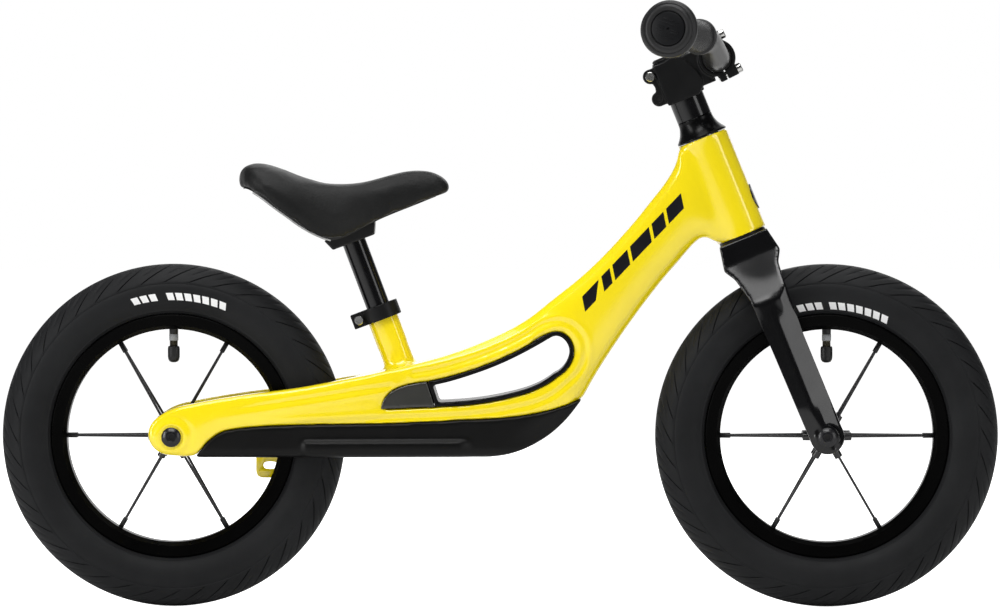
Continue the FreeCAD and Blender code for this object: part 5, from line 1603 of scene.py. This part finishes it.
@dataclass
class Studio:
    """A pale floor, soft lights and the camera."""

    bike: Bike
    camera_place: tuple[float, float, float] = (0.105, -8.0, 0.496)
    camera_aim: tuple[float, float, float] = (0.0, 0.0, 0.267)
    lens: float = 326.0
    lamp_aim: tuple[float, float, float] = (0.0, 0.0, 0.25)
    surround_seen: float = 1.0
    surround_light: float = 0.10
    floor_glow: float = 0.96

    def build_camera(self) -> None:
        """A long lens at the right side, slightly above the wheels."""
        data = bpy.data.cameras.new("camera")
        data.lens = self.lens
        data.sensor_width = 36.0
        data.clip_end = 100.0
        camera = bpy.data.objects.new("camera", data)
        bpy.context.scene.collection.objects.link(camera)
        place, aim = Vector(self.camera_place), Vector(self.camera_aim)
        camera.location = place
        camera.rotation_euler = (aim - place).to_track_quat("-Z", "Y").to_euler()
        bpy.context.scene.camera = camera

    def build_light(self, lamp: Lamp) -> None:
        """Hang one light, pointed at the bike.

        Args:
            lamp: what it is like.
        """
        data = bpy.data.lights.new(lamp.name, "AREA")
        data.shape = "RECTANGLE"
        data.size, data.size_y = lamp.size
        data.energy = lamp.power
        light = bpy.data.objects.new(lamp.name, data)
        place, aim = Vector(lamp.place), Vector(self.lamp_aim)
        light.location = place
        light.visible_camera = False
        light.rotation_euler = (aim - place).to_track_quat("-Z", "Y").to_euler()
        bpy.context.scene.collection.objects.link(light)

    def build_world(self) -> None:
        """A white surround for the lens and a dimmer one for the lighting."""
        world = bpy.data.worlds.new("surround")
        bpy.context.scene.world = world
        world.use_nodes = True
        tree = world.node_tree
        tree.nodes.clear()
        mix = tree.nodes.new("ShaderNodeMixShader")
        path = tree.nodes.new("ShaderNodeLightPath")
        out = tree.nodes.new("ShaderNodeOutputWorld")
        tree.links.new(path.outputs["Is Camera Ray"], mix.inputs["Fac"])
        for index, strength in ((1, self.surround_light), (2, self.surround_seen)):
            shade = tree.nodes.new("ShaderNodeBackground")
            shade.inputs["Color"].default_value = (1.0, 1.0, 1.0, 1.0)
            shade.inputs["Strength"].default_value = strength
            tree.links.new(shade.outputs["Background"], mix.inputs[index])
        tree.links.new(mix.outputs["Shader"], out.inputs["Surface"])

    def build_floor(self) -> None:
        """A pale floor under the tyres, lit evenly enough to run into the white surround."""
        bm = bmesh.new()
        below = Matrix.Translation((0.0, 0.0, -0.5 * MM))
        bmesh.ops.create_grid(bm, x_segments=8, y_segments=8, size=12.0, matrix=below)
        floor = bpy.data.objects.new("floor", as_mesh(bm, "floor"))
        bpy.context.scene.collection.objects.link(floor)
        self.bike.palette.dress(floor, FLOOR_WHITE)
        tree = floor.data.materials[0].node_tree
        shader = tree.nodes["Principled BSDF"]
        shader.inputs["Emission Color"].default_value = (1.0, 1.0, 1.0, 1.0)
        path = tree.nodes.new("ShaderNodeLightPath")
        glow = tree.nodes.new("ShaderNodeMath")
        glow.operation = "MULTIPLY"
        glow.inputs[1].default_value = self.floor_glow
        tree.links.new(path.outputs["Is Camera Ray"], glow.inputs[0])
        tree.links.new(glow.outputs[0], shader.inputs["Emission Strength"])
        floor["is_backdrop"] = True

    def build(self) -> None:
        """Set everything up round the bike."""
        self.build_camera()
        self.build_world()
        self.build_floor()
        for lamp in LAMPS:
            self.build_light(lamp)
        bpy.context.scene.view_settings.view_transform = "Standard"


def main() -> None:
    """Build the bike and its studio."""
    logging.basicConfig(level=logging.INFO, format="%(name)s: %(message)s")
    bike = Bike()
    bike.dress_nodes()
    shell = FrameShell(bike)
    body = shell.build()
    shell.build_lug()
    shell.build_graphic(body)
    BellyGuard(bike, shell).build()
    bike.softened("slot_liner", "slot_trim", 1.2, 2, TRIM_BLACK, "frame", "liner_plastic")
    bike.softened("slot_insert", "slot_covers", 1.0, 2, COVER_GREY, "frame", "gloss_plastic")
    Wheel(bike, "front", bike.front_axle, 115.2, ((102.9, 3), (88.9, 7))).build()
    Wheel(bike, "rear", bike.rear_axle, 123.2, ((106.6, 3), (92.2, 7))).build()
    Front(bike).build()
    for name, axle, rides_on in (("front", bike.front_axle, "steering"), ("rear", bike.rear_axle, "frame")):
        for side, label in ((-1, "right"), (1, "left")):
            AxleBolt(bike, axle, side, rides_on, f"{name}_axle_bolts", f"{name}_axle_bolt_{label}").build()
    for side in (1, -1):
        Grip(bike, side).build()
    Saddle(bike).build()
    Studio(bike).build()


if __name__ == "__main__":
    main()
